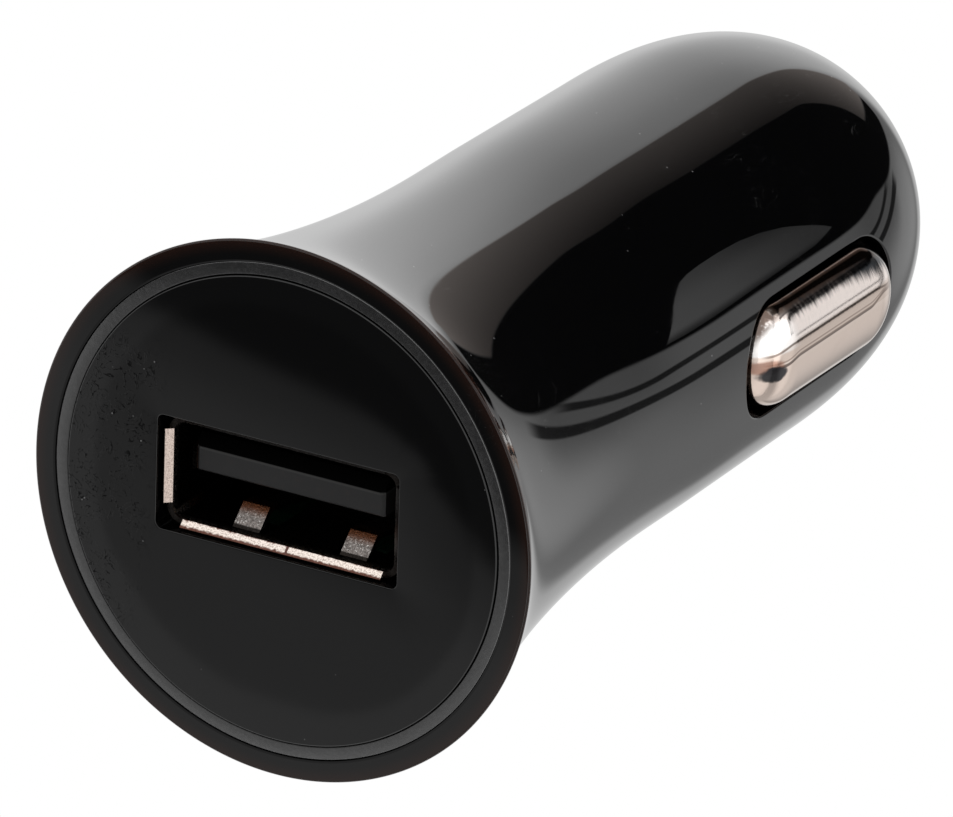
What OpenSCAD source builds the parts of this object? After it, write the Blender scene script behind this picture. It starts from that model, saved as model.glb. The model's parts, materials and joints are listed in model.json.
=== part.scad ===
// Charger plug for a car's 12 volt socket, with one USB port in its front face.
// The plug stands on its front face: z = 0 is the front, and +Z runs along the axis to the nose.
// +X points at one side contact, and +Y at the side of the port that faces the circuit board.

/* [Barrel shell] */
// Radius of the front rim
rim_r = 14; // [13.6:0.1:15]
// Radius of the straight guide band that fills the socket's mouth
barrel_r = 10.48; // [10.3:0.02:10.7]
// How much the barrel narrows between the guide band and the nose
nose_draft = 0.11; // [0.02:0.01:0.25]
// Length of the trumpet flare behind the rim
flare_l = 24; // [20:0.5:26]
// How sharply the flare narrows
flare_power = 2.05; // [1.7:0.05:2.6]
// Share of the flare that turns in close behind the rim
lip_share = 0.15; // [0.05:0.01:0.25]
// Depth over which that close part fades
lip_decay = 2.3; // [1.5:0.1:4]
// End of the guide band, measured from the front
band_end = 27.2; // [26.5:0.1:27.3]
// Length of the shell from rim to nose
shell_l = 53.15; // [52:0.05:56]
// Length of the rounded nose
nose_l = 15.45; // [14:0.05:16.5]
// Exponent of the nose's rounded outline
nose_power = 2.62; // [2.2:0.02:3]
// Wall thickness of the shell
wall = 1.4; // [1.2:0.05:1.5]
// Thickness of the nose wall round its hole
nose_wall = 2.9; // [2.5:0.1:3.4]
// Edge break of the rim
rim_edge = 0.12; // [0.05:0.01:0.3]

/* [Contact slots] */
// Distance from the front to the slots' front end
slot_z0 = 27.4; // [27.3:0.05:27.6]
// Gap between dome and slot at the front end
dome_front_gap = 0.55; // [0.4:0.05:0.8]
// Gap between dome and slot at the far end
dome_back_gap = 0.9; // [0.6:0.05:1.2]
// Mean gap between dome and slot along the sides
dome_side_gap = 0.4; // [0.35:0.025:0.6]
// How far the slots sit off the domes' middle, towards the board
slot_shift = 0.15; // [0:0.05:0.2]

/* [Front face] */
// Wall left outside the seat of ring and disc, at the seat's deep end
seat_wall = 0.32; // [0.25:0.01:0.6]
// Width of the light ring as seen from the front
ring_w = 0.75; // [0.6:0.05:1]
// How far the light ring lies behind the front
ring_recess = 0.22; // [0.1:0.01:0.4]
// Thickness of the ring's flange under the disc
flange_t = 0.7; // [0.5:0.05:1]
// Reach of that flange inside the ring
flange_w = 1.45; // [1.2:0.05:1.8]
// Thickness of the face disc
disc_t = 1.4; // [1.2:0.05:1.8]
// Clearance round the disc, the ring and the snap legs
face_gap = 0.05; // [0.03:0.01:0.1]
// Length of the disc's snap legs behind the ring
leg_l = 2.8; // [2:0.1:3.2]
// Width of a snap leg
leg_w = 3; // [2:0.1:4]
// Thickness of a snap leg
leg_t = 0.9; // [0.7:0.05:1.1]
// How far a leg's hook reaches out
hook = 0.45; // [0.2:0.05:0.6]

/* [Port] */
// Sideways place of the port's centre
port_x = -0.25; // [-0.5:0.05:0.5]
// Place of the port's centre across the board
port_y = -0.5; // [-0.7:0.05:-0.3]
// Width of the metal port shell
port_w = 13.1; // [12.9:0.05:13.2]
// Height of the metal port shell
port_h = 5.7; // [5.5:0.05:5.8]
// Sheet thickness of the port shell
port_t = 0.3; // [0.25:0.01:0.35]
// Corner radius outside the port shell
port_corner = 0.9; // [0.6:0.05:1.2]
// Distance from the front to the port shell's lips
lip_z = 0.4; // [0.3:0.05:0.8]
// Length of the lips' bevel
lip_l = 0.3; // [0.2:0.05:0.6]
// How far the lips' edge stands out past the port shell
lip_out = 0.08; // [0.04:0.01:0.1]
// Half length of the lips along the port's long sides
lip_long = 5.65; // [5:0.05:5.8]
// Half length of the lips along the port's short sides
lip_short = 1.95; // [1.5:0.05:2.1]
// How far the lips on the short sides sit towards the tongue
lip_shift = 0.15; // [0:0.05:0.3]
// Distance from the front to the back of the port shell
port_back = 14.2; // [14:0.05:14.4]
// Space between the port shell's sides and the disc's cut-out
cut_gap_x = 0.25; // [0.2:0.01:0.35]
// Space between the port shell's long sides and the disc's cut-out
cut_gap_y = 0.15; // [0.12:0.01:0.25]
// Corner radius of the disc's cut-out
cut_corner = 0.35; // [0.2:0.05:0.8]
// Depth of the collar behind the disc that holds the port shell
collar_l = 2; // [1.2:0.1:2.1]
// Wall of that collar
collar_t = 0.75; // [0.6:0.05:1]
// Clearance of the port shell in the collar
collar_gap = 0.08; // [0.05:0.01:0.1]

/* [Port springs] */
// Width of a port spring
spring_tab_w = 1.5; // [1.1:0.05:1.7]
// Place of the left spring from the port's centre
spring_tab_left = -2.5; // [-3.2:0.05:-2.2]
// Place of the right spring from the port's centre
spring_tab_right = 3.55; // [2.2:0.05:3.8]
// Distance from the front to a spring's tip
spring_tip_z = 1.4; // [1.3:0.05:1.8]
// Distance from the tip to the spring's crest
spring_rise_l = 1.15; // [0.9:0.05:1.5]
// Height of the crest inside the port
spring_rise = 0.95; // [0.5:0.05:1.05]
// Height of the crests that face the tongue
spring_rise_tongue = 0.45; // [0.3:0.05:0.5]
// Distance from the front to the spring's root
spring_root_z = 8.2; // [7:0.1:9]

/* [Tongue] */
// Width of the tongue
tongue_w = 10.6; // [10.2:0.1:11.2]
// Thickness of the tongue
tongue_t = 1.84; // [1.7:0.02:1.95]
// Distance from the front to the tongue's tip
tongue_z = 1.2; // [1:0.05:1.6]
// Chamfer on the tongue's outer edge
tongue_chamfer = 0.55; // [0.3:0.05:0.8]
// Chamfer on the tongue's ends
tongue_end = 0.2; // [0.1:0.05:0.6]
// Distance from the front to the solid block behind the tongue
block_z = 9.6; // [9.4:0.1:10.5]
// Spacing of the inner pair of port contacts
inner_pitch = 2; // [1.9:0.05:2.1]
// Spacing of the outer pair of port contacts
outer_pitch = 7; // [6.8:0.05:7.2]
// Gap between the solid block and the port shell
block_gap = 0.05; // [0.03:0.01:0.1]
// Width of a port contact
pin_w = 1; // [0.8:0.05:1.1]
// Thickness of a port contact
pin_t = 0.25; // [0.2:0.01:0.3]
// Distance from the front to a port contact's end
pin_z = 2.1; // [1.9:0.05:2.6]

/* [Circuit board] */
// Thickness of the board
board_t = 1.2; // [1:0.1:1.3]
// Width of the board beside the port
board_wide = 15.2; // [15:0.1:15.6]
// Space kept between the board and a pressed side contact
board_clear = 0.3; // [0.2:0.05:0.8]
// Distance from the front to the board
board_z0 = 3.6; // [3.55:0.05:3.8]
// Distance between the board's far end and the shoulder inside the nose
board_end = 9.05; // [8.9:0.05:9.3]
// Gap between a soldered piece and the board
seat = 0.02; // [0.01:0.01:0.04]

/* [Carrier] */
// Distance from the front to the carrier
carrier_z = 15.25; // [15.2:0.05:15.4]
// Thickness of the carrier
carrier_l = 3.4; // [3:0.1:3.6]
// Clearance of the carrier in the shell
carrier_gap = 0.05; // [0.03:0.01:0.1]
// Depth of the carrier's rim round its upper window
carrier_rim = 2.4; // [1.8:0.1:3]
// Width of the key that stops the carrier from turning
key_w = 1.2; // [0.8:0.1:1.6]
// Height of that key
key_h = 0.8; // [0.5:0.1:1]

/* [Side contacts] */
// Sheet thickness of a side contact
leaf_t = 0.35; // [0.3:0.01:0.4]
// Width of the dome that comes through the slot
dome_w = 5.5; // [5.2:0.05:5.7]
// Length of the dome
dome_l = 13.7; // [13.2:0.05:14]
// How far the dome stands out of the barrel
dome_out = 1.05; // [0.8:0.05:1.2]
// Height of the dome's rounded part
dome_crown = 1.9; // [1.5:0.05:2.1]
// Exponent of the dome's rounded outline
dome_power = 2.4; // [2:0.05:3]
// Reach of the flange past the dome's side
flange_out = 0.95; // [0.8:0.05:1]
// Width of the leaf between eye and dome
leaf_w = 4; // [3:0.1:5]
// Outer radius of the rolled eye
eye_r = 0.8; // [0.6:0.05:0.9]
// Running clearance of the eye
eye_gap = 0.05; // [0.04:0.01:0.08]
// Angle through which a contact is pressed in
press_deg = 5.2; // [4.5:0.1:5.4]

/* [Nose contact] */
// Radius of the nose contact
tip_r = 2.5; // [2.2:0.05:2.8]
// Running clearance of the nose contact in the shell
tip_gap = 0.06; // [0.03:0.01:0.1]
// Travel of the nose contact
tip_travel = 2; // [1.5:0.1:2.1]
// How far the nose contact still stands out when it is pressed in
tip_left = 0.45; // [0.3:0.05:0.8]
// Radius of its flange
tip_flange_r = 3.3; // [3.1:0.05:3.4]
// Thickness of its flange
tip_flange_t = 0.75; // [0.5:0.05:1]
// Wire thickness of the nose spring
wire_d = 0.44; // [0.3:0.02:0.46]
// Mean radius of the nose spring
coil_r = 2.1; // [2:0.05:2.3]
// Turns of the nose spring
coil_turns = 6; // [5:0.5:7]
// Length of the boss that guides the spring's upper end
boss_l = 1.4; // [1:0.1:1.6]
// Thickness of the spring seat's plate
seat_t = 0.6; // [0.4:0.05:0.7]
// Gap between the board's end and the spring seat
seat_gap = 0.2; // [0.15:0.05:0.3]

/* [Board parts] */
// Radius of the output capacitor, as a share of the row of wound parts
out_cap_share = 0.14; // [0.11:0.005:0.142]
// Height of the output capacitor
out_cap_h = 7; // [5:0.1:8]
// Radius of the input capacitor, as a share of the row of wound parts
in_cap_share = 0.111; // [0.09:0.001:0.115]
// Height of the input capacitor
in_cap_h = 7; // [5:0.1:8]
// Radius of the inductor's flanges, as a share of the row of wound parts
coil_share = 0.1575; // [0.13:0.0025:0.16]
// Height of the inductor
coil_core_h = 5; // [4:0.1:6]
// Width of the regulator's body, as a share of the board's width
reg_share = 0.375; // [0.3:0.005:0.385]
// Length of the regulator's body, as a share of the inductor's radius
reg_l_share = 1.38; // [1.1:0.02:1.42]
// Height of the regulator's body
reg_h = 1.4; // [1:0.1:1.8]
// Width of the diode, as a share of the board's width
diode_share = 0.25; // [0.2:0.01:0.27]
// Length of the diode's body, as a share of the inductor's radius
diode_l_share = 1.07; // [0.8:0.01:1.12]
// Height of the diode's body
diode_h = 2; // [1.2:0.1:2.2]
// Length of the fuse, as a share of the board's width
fuse_share = 0.308; // [0.25:0.002:0.33]
// Width of the fuse, as a share of the input capacitor's radius
fuse_w_share = 0.64; // [0.5:0.01:0.7]
// Length of a chip resistor, as a share of the inductor's radius
res_l_share = 0.56; // [0.45:0.01:0.62]
// Width of a chip resistor, as a share of the board's width
res_w_share = 0.12; // [0.08:0.005:0.135]
// Length of a chip capacitor, as a share of the inductor's radius
cap_l_share = 0.84; // [0.6:0.01:0.9]
// Width of a chip capacitor, as a share of the board's width
cap_w_share = 0.154; // [0.12:0.002:0.17]
// Radius of a solder joint's foot, as a share of the input capacitor's radius
solder_share = 0.34; // [0.28:0.01:0.36]
// Height of a solder joint
solder_h = 0.55; // [0.4:0.05:0.7]
// Radius of a wire lead
lead_r = 0.25; // [0.2:0.01:0.28]
// Length of a lead past the board
lead_out = 0.9; // [0.7:0.05:1.1]
// Distance between two neighbouring wound parts
part_gap = 0.3; // [0.2:0.05:0.5]

/* [Hidden] */

// Fineness of round faces, and of the curves that are worked out by formula
$fn = 72;
flare_steps = 20;
nose_steps = 18;
bead = 0.01;

// Places that follow from the sizes above
nose_root_r = barrel_r - nose_draft;
nose_z = shell_l - nose_l;
slot_l = dome_l + dome_front_gap + dome_back_gap;
slot_w = dome_w + 2 * dome_side_gap;
ring_back = disc_t + face_gap + flange_t;
seat_z = ring_back + face_gap;
seat_r = flare(seat_z) - seat_wall;
disc_r = seat_r - ring_w - face_gap;
ring_out_r = seat_r - face_gap;
flange_r = disc_r - flange_w;
shoulder_z = shell_l - nose_wall;
board_z1 = shoulder_z - board_end;
board_y = port_y + port_h / 2 + 0.05;
board_under = board_y + board_t;
hinge_z = carrier_z + carrier_l / 2 - 0.05;
flange_half = dome_w / 2 + flange_out;
leaf_x = sqrt(pow(nose_root_r - wall, 2) - pow(flange_half, 2)) - 0.12;
hinge_x = leaf_x - eye_r;
dome_z0 = slot_z0 + dome_front_gap;
dome_z1 = dome_z0 + dome_l;
dome_top = barrel_r + dome_out;
dome_wall_top = dome_top - dome_crown;
flange_z0 = dome_z0 - flange_out;
flange_z1 = slot_z0 + slot_l + 0.6;
board_slim = 2 * (leaf_x - leaf_t - sin(press_deg) * (board_z1 - hinge_z) - board_clear);
wiper_x = board_slim / 2 - 0.7;
wiper_y = board_y - 0.1 - leaf_t;
tip_out = tip_travel + tip_left;
tip_z = shell_l + tip_out;
tip_shoulder = shoulder_z - 0.03;
spring_top = tip_shoulder - tip_flange_t - seat;
plate_z = board_z1 + seat_gap;
spring_bottom = plate_z + seat_t + seat;
boss_r = coil_r - wire_d / 2 - 0.25;
stub_top = spring_top - boss_l - tip_travel - 0.2;
pin_leg_z = port_back - 0.15;
carrier_end = carrier_z + carrier_l;
part_row = board_z1 - carrier_end;
out_cap_r = out_cap_share * part_row;
in_cap_r = in_cap_share * part_row;
coil_core_r = coil_share * part_row;
reg_w = reg_share * board_slim;
reg_l = reg_l_share * coil_core_r;
diode_w = diode_share * board_slim;
diode_l = diode_l_share * coil_core_r;
fuse_l = fuse_share * board_slim;
fuse_w = fuse_w_share * in_cap_r;
res_l = res_l_share * coil_core_r;
res_w = res_w_share * board_slim;
cap_l = cap_l_share * coil_core_r;
cap_w = cap_w_share * board_slim;
solder_r = solder_share * in_cap_r;
out_cap_z = carrier_end + out_cap_r + 2 * part_gap;
coil_z = out_cap_z + out_cap_r + coil_core_r + part_gap;
in_cap_z = coil_z + coil_core_r + in_cap_r + part_gap;
chip_x = (board_slim - res_w) / 2 - part_gap - 0.2;
lead_pitch = in_cap_r;
coil_pitch = 2 * in_cap_r;
hub_r = 0.45 * coil_core_r;
pin_xs = [-outer_pitch / 2, -inner_pitch / 2, inner_pitch / 2, outer_pitch / 2];
tab_x = (port_w - port_t) / 2;
tab_z0 = 9.2;
tab_w = 1.8;

// Outline of the shell, as a radius for each distance from the front
function flare(z) =
    barrel_r + (rim_r - barrel_r) * ((1 - lip_share) * pow(1 - z / flare_l, flare_power)
    + lip_share * exp(-z / lip_decay) * (1 - z / flare_l));
function nose_outline(root, len, a) =
    [root * pow(cos(a), 2 / nose_power), nose_z + len * pow(sin(a), 2 / nose_power)];
function outer_points() = concat(
    [[rim_r - rim_edge, 0]],
    [for (i = [0 : flare_steps])
        let (z = flare_l * pow(i / flare_steps, 1.4)) [flare(z), max(z, rim_edge * (1 - i))]],
    [[barrel_r, band_end]],
    [for (i = [0 : nose_steps]) nose_outline(nose_root_r, shell_l - nose_z, 90 * i / nose_steps)]);
function inner_points() = concat(
    [for (i = [0 : flare_steps]) let (z = flare_l * i / flare_steps) [flare(z) - wall, z]],
    [[barrel_r - wall, band_end]],
    [for (i = [0 : nose_steps]) nose_outline(nose_root_r - wall, shoulder_z - nose_z, 90 * i / nose_steps)]);
function inner_r(z) = flare(min(z, flare_l)) - wall;

// A square with round corners, centred, made from exact arcs
module round_rect(w, h, r) {
    square([w - 2 * r, h], center = true);
    square([w, h - 2 * r], center = true);
    for (x = [-1, 1], y = [-1, 1])
        translate([x * (w / 2 - r), y * (h / 2 - r)]) circle(r, $fn = 32);
}

// A slab from z0 to z1, centred on x and y
module slab(x, y, w, h, z0, z1) {
    translate([x - w / 2, y - h / 2, z0]) cube([w, h, z1 - z0]);
}

// A round post that stands on the board and points away from the port's side
module post(x, z, r, y0, y1) {
    translate([x, y0, z]) rotate([-90, 0, 0]) cylinder(r = r, h = y1 - y0, $fn = 32);
}

// A slot or dome outline with full round ends, seen along the X axis, from z0 on
module obround(w, len) {
    translate([0, w / 2]) circle(w / 2);
    translate([0, len - w / 2]) circle(w / 2);
    translate([-w / 2, w / 2]) square([w, len - w]);
}

// Turns a flat shape in (y, z) into a plate from x0 to x1
module plate_x(x0, x1) {
    translate([x0, 0, 0]) rotate([90, 0, 90]) linear_extrude(x1 - x0) children();
}

module barrel_shell() {
    color("black") {
        difference() {
            rotate_extrude() polygon(concat([[0, 0]], outer_points()));
            rotate_extrude() polygon(concat([[0, -bead], [inner_points()[0].x, -bead]], inner_points()));
            translate([0, 0, -bead]) cylinder(r = seat_r, h = seat_z + bead);
            translate([0, 0, shoulder_z - 1.2]) cylinder(r = tip_flange_r + 0.25, h = 1.2);
            cylinder(r = tip_r + tip_gap, h = shell_l + 1);
            for (side = [0, 1])
                mirror([side, 0, 0]) plate_x(inner_r(flare_l) - 2, barrel_r + 2)
                    translate([slot_shift, slot_z0]) obround(slot_w, slot_l);
        }
        shell_key();
    }
}

// Key inside the shell that fits a notch in the carrier
module shell_key() {
    z0 = carrier_z - 2;
    z1 = carrier_end + 3;
    intersection() {
        slab(0, inner_r(z1) + wall / 2, key_w, wall + 2 * key_h, z0, z1);
        difference() {
            rotate_extrude() polygon(concat([[0, 0]], outer_points()));
            translate([0, 0, -bead]) cylinder(r = inner_r(z1) - key_h, h = shell_l);
        }
    }
}

module face_disc() {
    collar_side = collar_gap + collar_t;
    color([0.11, 0.11, 0.12]) {
        difference() {
            union() {
                cylinder(r = disc_r, h = disc_t);
                port_place() translate([0, 0, disc_t - bead]) linear_extrude(collar_l + bead)
                    round_rect(port_w + 2 * collar_side, port_h + 2 * collar_side, port_corner + collar_t);
            }
            port_place() translate([0, 0, -bead]) linear_extrude(disc_t + bead)
                round_rect(port_w + 2 * cut_gap_x, port_h + 2 * cut_gap_y, cut_corner);
            port_place() linear_extrude(disc_t + collar_l + 1)
                round_rect(port_w + 2 * collar_gap, port_h + 2 * collar_gap, port_corner);
        }
        for (a = [45 : 90 : 315]) rotate([0, 0, a]) snap_leg();
    }
}

// One leg that passes the ring's flange and hooks behind it
module snap_leg() {
    leg_r = flange_r - 0.15;
    hook_z = ring_back + face_gap;
    rotate([90, 0, 0]) translate([0, 0, -leg_w / 2]) linear_extrude(leg_w)
        polygon([
            [leg_r - leg_t, disc_t - bead], [leg_r, disc_t - bead], [leg_r, hook_z], [leg_r + hook, hook_z],
            [leg_r + hook, hook_z + 0.4], [leg_r, disc_t + leg_l], [leg_r - leg_t, disc_t + leg_l]
        ]);
}

module light_ring() {
    color([0.35, 0.35, 0.37, 0.8])
        rotate_extrude() polygon([
            [disc_r + face_gap, ring_recess], [ring_out_r, ring_recess], [ring_out_r, ring_back],
            [flange_r, ring_back], [flange_r, disc_t + face_gap], [disc_r + face_gap, disc_t + face_gap]
        ]);
}

module port_place() {
    translate([port_x, port_y, 0]) children();
}

module usb_shell() {
    spring_slit = spring_tab_w + 0.8;
    tab_top = port_h / 2 - 1;
    tab_end = board_under - port_y + lead_out;
    color([0.8, 0.78, 0.74]) port_place() {
        difference() {
            translate([0, 0, lip_z + lip_l]) linear_extrude(port_back - lip_z - lip_l) difference() {
                round_rect(port_w, port_h, port_corner);
                round_rect(port_w - 2 * port_t, port_h - 2 * port_t, port_corner - port_t);
            }
            for (side = [-1, 1], x = [spring_tab_left, spring_tab_right])
                slab(x, side * port_h / 2, spring_slit, 4 * port_t, spring_tip_z - 0.1, spring_root_z);
            for (side = [-1, 1])
                slab(side * port_w / 2, 0, 4 * port_t, spring_slit, spring_tip_z + 1, spring_root_z);
            slab(0, port_h / 2, outer_pitch + 2, 4 * port_t, pin_leg_z - 0.3, port_back + 1);
            slab(0, port_h / 2, 0.06, 4 * port_t, 0, port_back);
        }
        for (side = [0, 1]) mirror([0, side, 0]) {
            lip(port_h / 2, lip_long);
            for (x = [spring_tab_left, spring_tab_right]) translate([x, 0, 0])
                port_spring(port_h / 2, spring_tip_z, side == 0 ? spring_rise : spring_rise_tongue);
        }
        for (side = [-90, 90]) rotate([0, 0, side]) {
            translate([side < 0 ? lip_shift : -lip_shift, 0, 0]) lip(port_w / 2, lip_short);
            port_spring(port_w / 2, spring_tip_z + 1.2, spring_rise_tongue);
        }
        for (side = [-1, 1])
            slab(side * tab_x, (tab_top + tab_end) / 2, port_t, tab_end - tab_top, tab_z0, tab_z0 + tab_w);
    }
}

// Flared lip at the mouth, on the wall whose outside lies at distance d
module lip(d, half) {
    rotate([90, 0, 90]) translate([0, 0, -half]) linear_extrude(2 * half)
        polygon([
            [d - port_t, lip_z + lip_l + 0.05], [d - port_t, lip_z + lip_l], [d + lip_out - 0.05, lip_z],
            [d + lip_out, lip_z], [d, lip_z + lip_l], [d, lip_z + lip_l + 0.05]
        ]);
}

// Spring bent out of the wall whose outside lies at distance d, with its tip at z0
module port_spring(d, z0, rise) {
    crest_z = z0 + spring_rise_l;
    inner = d - port_t;
    crest = inner - rise;
    rotate([90, 0, 90]) translate([0, 0, -spring_tab_w / 2]) linear_extrude(spring_tab_w)
        polygon([
            [d, z0], [inner + 0.05, z0], [crest, crest_z - 0.15], [crest, crest_z + 0.25],
            [inner, spring_root_z], [inner, spring_root_z + 0.1],
            [d, spring_root_z + 0.1], [d, spring_root_z],
            [crest + port_t, crest_z + 0.35], [crest + port_t, crest_z]
        ]);
}

module usb_insulator() {
    side = port_t + block_gap;
    color([0.09, 0.09, 0.09]) port_place() difference() {
        union() {
            translate([0, 0, block_z]) linear_extrude(pin_leg_z - pin_t / 2 - 0.05 - block_z)
                round_rect(port_w - 2 * side, port_h - 2 * side, port_corner - port_t);
            tongue();
        }
        for (x = pin_xs)
            slab(x, (pin_t + 0.1) / 2 - 0.05, pin_w + 0.1, pin_t + 0.1, block_z - bead, pin_leg_z + 1);
        for (i = [-1, 1]) {
            slab(i * (port_w / 2 - port_t), 0, 0.8, port_h, block_z - 1, block_z + 0.8);
            slab(0, i * (port_h / 2 - port_t), port_w, 0.5, block_z - 1, block_z + 0.6);
        }
    }
}

// Tongue with its outer edges cut back, and the contact side on the port's middle plane
module tongue() {
    c = tongue_chamfer;
    e = tongue_end;
    intersection() {
        rotate([90, 0, 90]) translate([0, 0, -tongue_w / 2]) linear_extrude(tongue_w)
            polygon([
                [-tongue_t, tongue_z + c], [c - tongue_t, tongue_z], [-0.1, tongue_z], [0, tongue_z + 0.1],
                [0, block_z + 1], [-tongue_t, block_z + 1]
            ]);
        rotate([90, 0, 0]) linear_extrude(4, center = true)
            polygon([
                [e - tongue_w / 2, tongue_z], [tongue_w / 2 - e, tongue_z], [tongue_w / 2, tongue_z + e],
                [tongue_w / 2, block_z + 1], [-tongue_w / 2, block_z + 1], [-tongue_w / 2, tongue_z + e]
            ]);
    }
}

// One contact of the port: a bar on the tongue, a run through the block and a leg through the board
module usb_contact(x) {
    color([0.83, 0.68, 0.35]) port_place() translate([x, 0, 0]) {
        slab(0, pin_t / 2 + seat, pin_w, pin_t, pin_z, pin_leg_z);
        translate([0, pin_t + seat, pin_z + 1.2]) rotate([0, 90, 0]) translate([0, 0, -pin_w / 2])
            cylinder(r = pin_t, h = pin_w, $fn = 24);
        leg_end = board_under - port_y + lead_out;
        leg_z = pin_leg_z - pin_t / 2;
        slab(0, (seat + leg_end) / 2, 2 * lead_r, leg_end - seat, leg_z, leg_z + pin_t);
    }
}

module usb_contact_power() usb_contact(pin_xs[0]);
module usb_contact_data_minus() usb_contact(pin_xs[1]);
module usb_contact_data_plus() usb_contact(pin_xs[2]);
module usb_contact_ground() usb_contact(pin_xs[3]);

module circuit_board() {
    color([0.07, 0.3, 0.16]) difference() {
        union() {
            slab(0, board_y + board_t / 2, board_wide, board_t, board_z0, carrier_z - 0.05);
            slab(0, board_y + board_t / 2, board_slim, board_t, board_z0 + 1, board_z1);
        }
        for (x = pin_xs) post(port_x + x, pin_leg_z, lead_r + 0.15, board_y - 1, board_under + 1);
        for (side = [-1, 1]) slab(port_x + side * tab_x, board_y + board_t / 2, port_t + 0.3, board_t + 1,
            tab_z0 - 0.15, tab_z0 + tab_w + 0.15);
        lead_places() post(0, 0, lead_r + 0.1, board_y - 1, board_under + 1);
    }
}

// Where wire leads pass the board
module lead_places() {
    for (z = [out_cap_z, in_cap_z], x = [-1, 1]) translate([x * lead_pitch / 2, 0, z]) children();
    for (x = [-1, 1]) translate([x * coil_pitch / 2, 0, coil_z]) children();
}

module board_carrier() {
    z0 = carrier_z;
    z1 = carrier_end;
    mid = (z0 + z1) / 2;
    window_top = carrier_rim - inner_r(z1);
    window_low = board_y - 0.8;
    lower_top = board_under + 1.3;
    lower_end = inner_r(z1) - key_h - 0.9;
    lower_w = 2 * wiper_x - 3;
    window_w = 2 * (hinge_x - eye_r) - 3;
    color([0.85, 0.84, 0.8]) difference() {
        rotate_extrude() polygon([
            [0, z0], [inner_r(z0) - carrier_gap, z0], [inner_r(mid) - carrier_gap, mid],
            [inner_r(z1) - carrier_gap, z1], [0, z1]
        ]);
        slab(0, board_y + board_t / 2, board_slim + 0.1, board_t + 0.1, z0 - 1, z1 + 1);
        slab(0, (window_top + window_low) / 2, window_w, window_low - window_top, z0 - 1, z1 + 1);
        slab(0, (lower_top + lower_end) / 2, lower_w, lower_end - lower_top, z0 - 1, z1 + 1);
        slab(0, inner_r(carrier_end + 3) - key_h + 1.35, key_w + 0.2, 3, z0 - 1, z1 + 1);
        for (side = [0, 1]) mirror([side, 0, 0]) eye_pocket();
    }
}

// Pocket for a contact's rolled eye: the eye slides in from the open corner beside the board
module eye_pocket() {
    start = -leaf_w / 2 - 0.1;
    corner = wiper_y - 0.2;
    swing = leaf_t + sin(press_deg) * carrier_l / 2 + 0.1;
    translate([hinge_x, start, hinge_z]) rotate([-90, 0, 0])
        cylinder(r = eye_r + eye_gap, h = corner - start + 0.1);
    translate([leaf_x - swing, start, hinge_z]) cube([swing + 0.15, corner - start + 0.1, carrier_l]);
    translate([wiper_x - 0.3, corner, hinge_z - 1]) cube([rim_r, rim_r, carrier_l]);
}

// A capacitor can that stands on the board, with its crimp groove, rounded top and two leads
module capacitor(r, h, z) {
    translate([0, board_y - seat, z]) rotate([90, 0, 0]) rotate_extrude() polygon(concat(
        [[0, 0], [r - 0.25, 0], [r, 0.2], [r, 1.1], [r - 0.3, 1.35], [r - 0.3, 1.6], [r, 1.85]],
        [for (a = [0 : 15 : 90]) [r - 0.6 + 0.6 * cos(a), h - 0.6 + 0.6 * sin(a)]],
        [[0, h]]));
    for (x = [-1, 1]) post(x * lead_pitch / 2, z, lead_r, board_y - seat - 0.2, board_under + lead_out);
}

module output_capacitor() {
    color([0.15, 0.2, 0.35]) capacitor(out_cap_r, out_cap_h, out_cap_z);
}

module input_capacitor() {
    color([0.15, 0.2, 0.35]) capacitor(in_cap_r, in_cap_h, in_cap_z);
}

module inductor_core() {
    h = coil_core_h;
    color([0.2, 0.2, 0.21]) translate([0, board_y - seat, coil_z]) rotate([90, 0, 0])
        rotate_extrude() polygon([
            [0, 0.3], [coil_core_r, 0.3], [coil_core_r, 1.2], [hub_r, 1.2],
            [hub_r, h - 0.9], [coil_core_r - 0.1, h - 0.9], [coil_core_r - 0.1, h], [0, h]
        ]);
}

// Copper winding with one ridge for each turn, and its two tinned ends through the board
module inductor_winding() {
    turn = 0.34;
    turns = floor((coil_core_h - 2.2) / turn);
    wound_r = coil_core_r - 0.8;
    color([0.72, 0.4, 0.2]) {
        translate([0, board_y - seat, coil_z]) rotate([90, 0, 0]) rotate_extrude() polygon(concat(
            [[hub_r + seat, 1.25], [wound_r, 1.25]],
            [for (i = [0 : turns - 1], a = [-60, 0, 60])
                [wound_r + 0.17 * cos(a), 1.42 + turn * i + 0.15 * sin(a)]],
            [[wound_r, 1.25 + turn * turns], [hub_r + seat, 1.25 + turn * turns]]));
        for (x = [-1, 1]) {
            post(x * coil_pitch / 2, coil_z, lead_r, board_y - 0.25, board_under + lead_out);
            slab(x * (coil_pitch / 2 + 0.2), board_y - 0.15, 0.9, 0.2, coil_z - lead_r, coil_z + lead_r);
        }
    }
}

module status_led() {
    led_x = board_wide / 2 - 0.65;
    color([0.85, 0.9, 0.95]) {
        slab(led_x, board_y - seat - 0.2, 0.8, 0.4, board_z0 + 0.3, board_z0 + 1.9);
        slab(led_x, board_y - seat - 0.5, 0.7, 0.3, board_z0 + 0.55, board_z0 + 1.65);
    }
}

// Eight leg switching regulator under the board
module regulator_chip() {
    z = (out_cap_z + coil_z) / 2;
    color([0.12, 0.12, 0.13]) {
        slab(0, board_under + 0.15 + reg_h / 2, reg_w, reg_h, z - reg_l / 2, z + reg_l / 2);
        for (side = [-1, 1], i = [-1.5 : 1.5]) translate([0, 0, z + reg_l * 0.26 * i]) {
            slab(side * (reg_w / 2 + 0.25), board_under + 0.8, 0.7, 0.2, -0.2, 0.2);
            slab(side * (reg_w / 2 + 0.55), board_under + 0.45, 0.2, 0.85, -0.2, 0.2);
            slab(side * (reg_w / 2 + 0.8), board_under + seat + 0.1, 0.6, 0.2, -0.2, 0.2);
        }
    }
}

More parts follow.
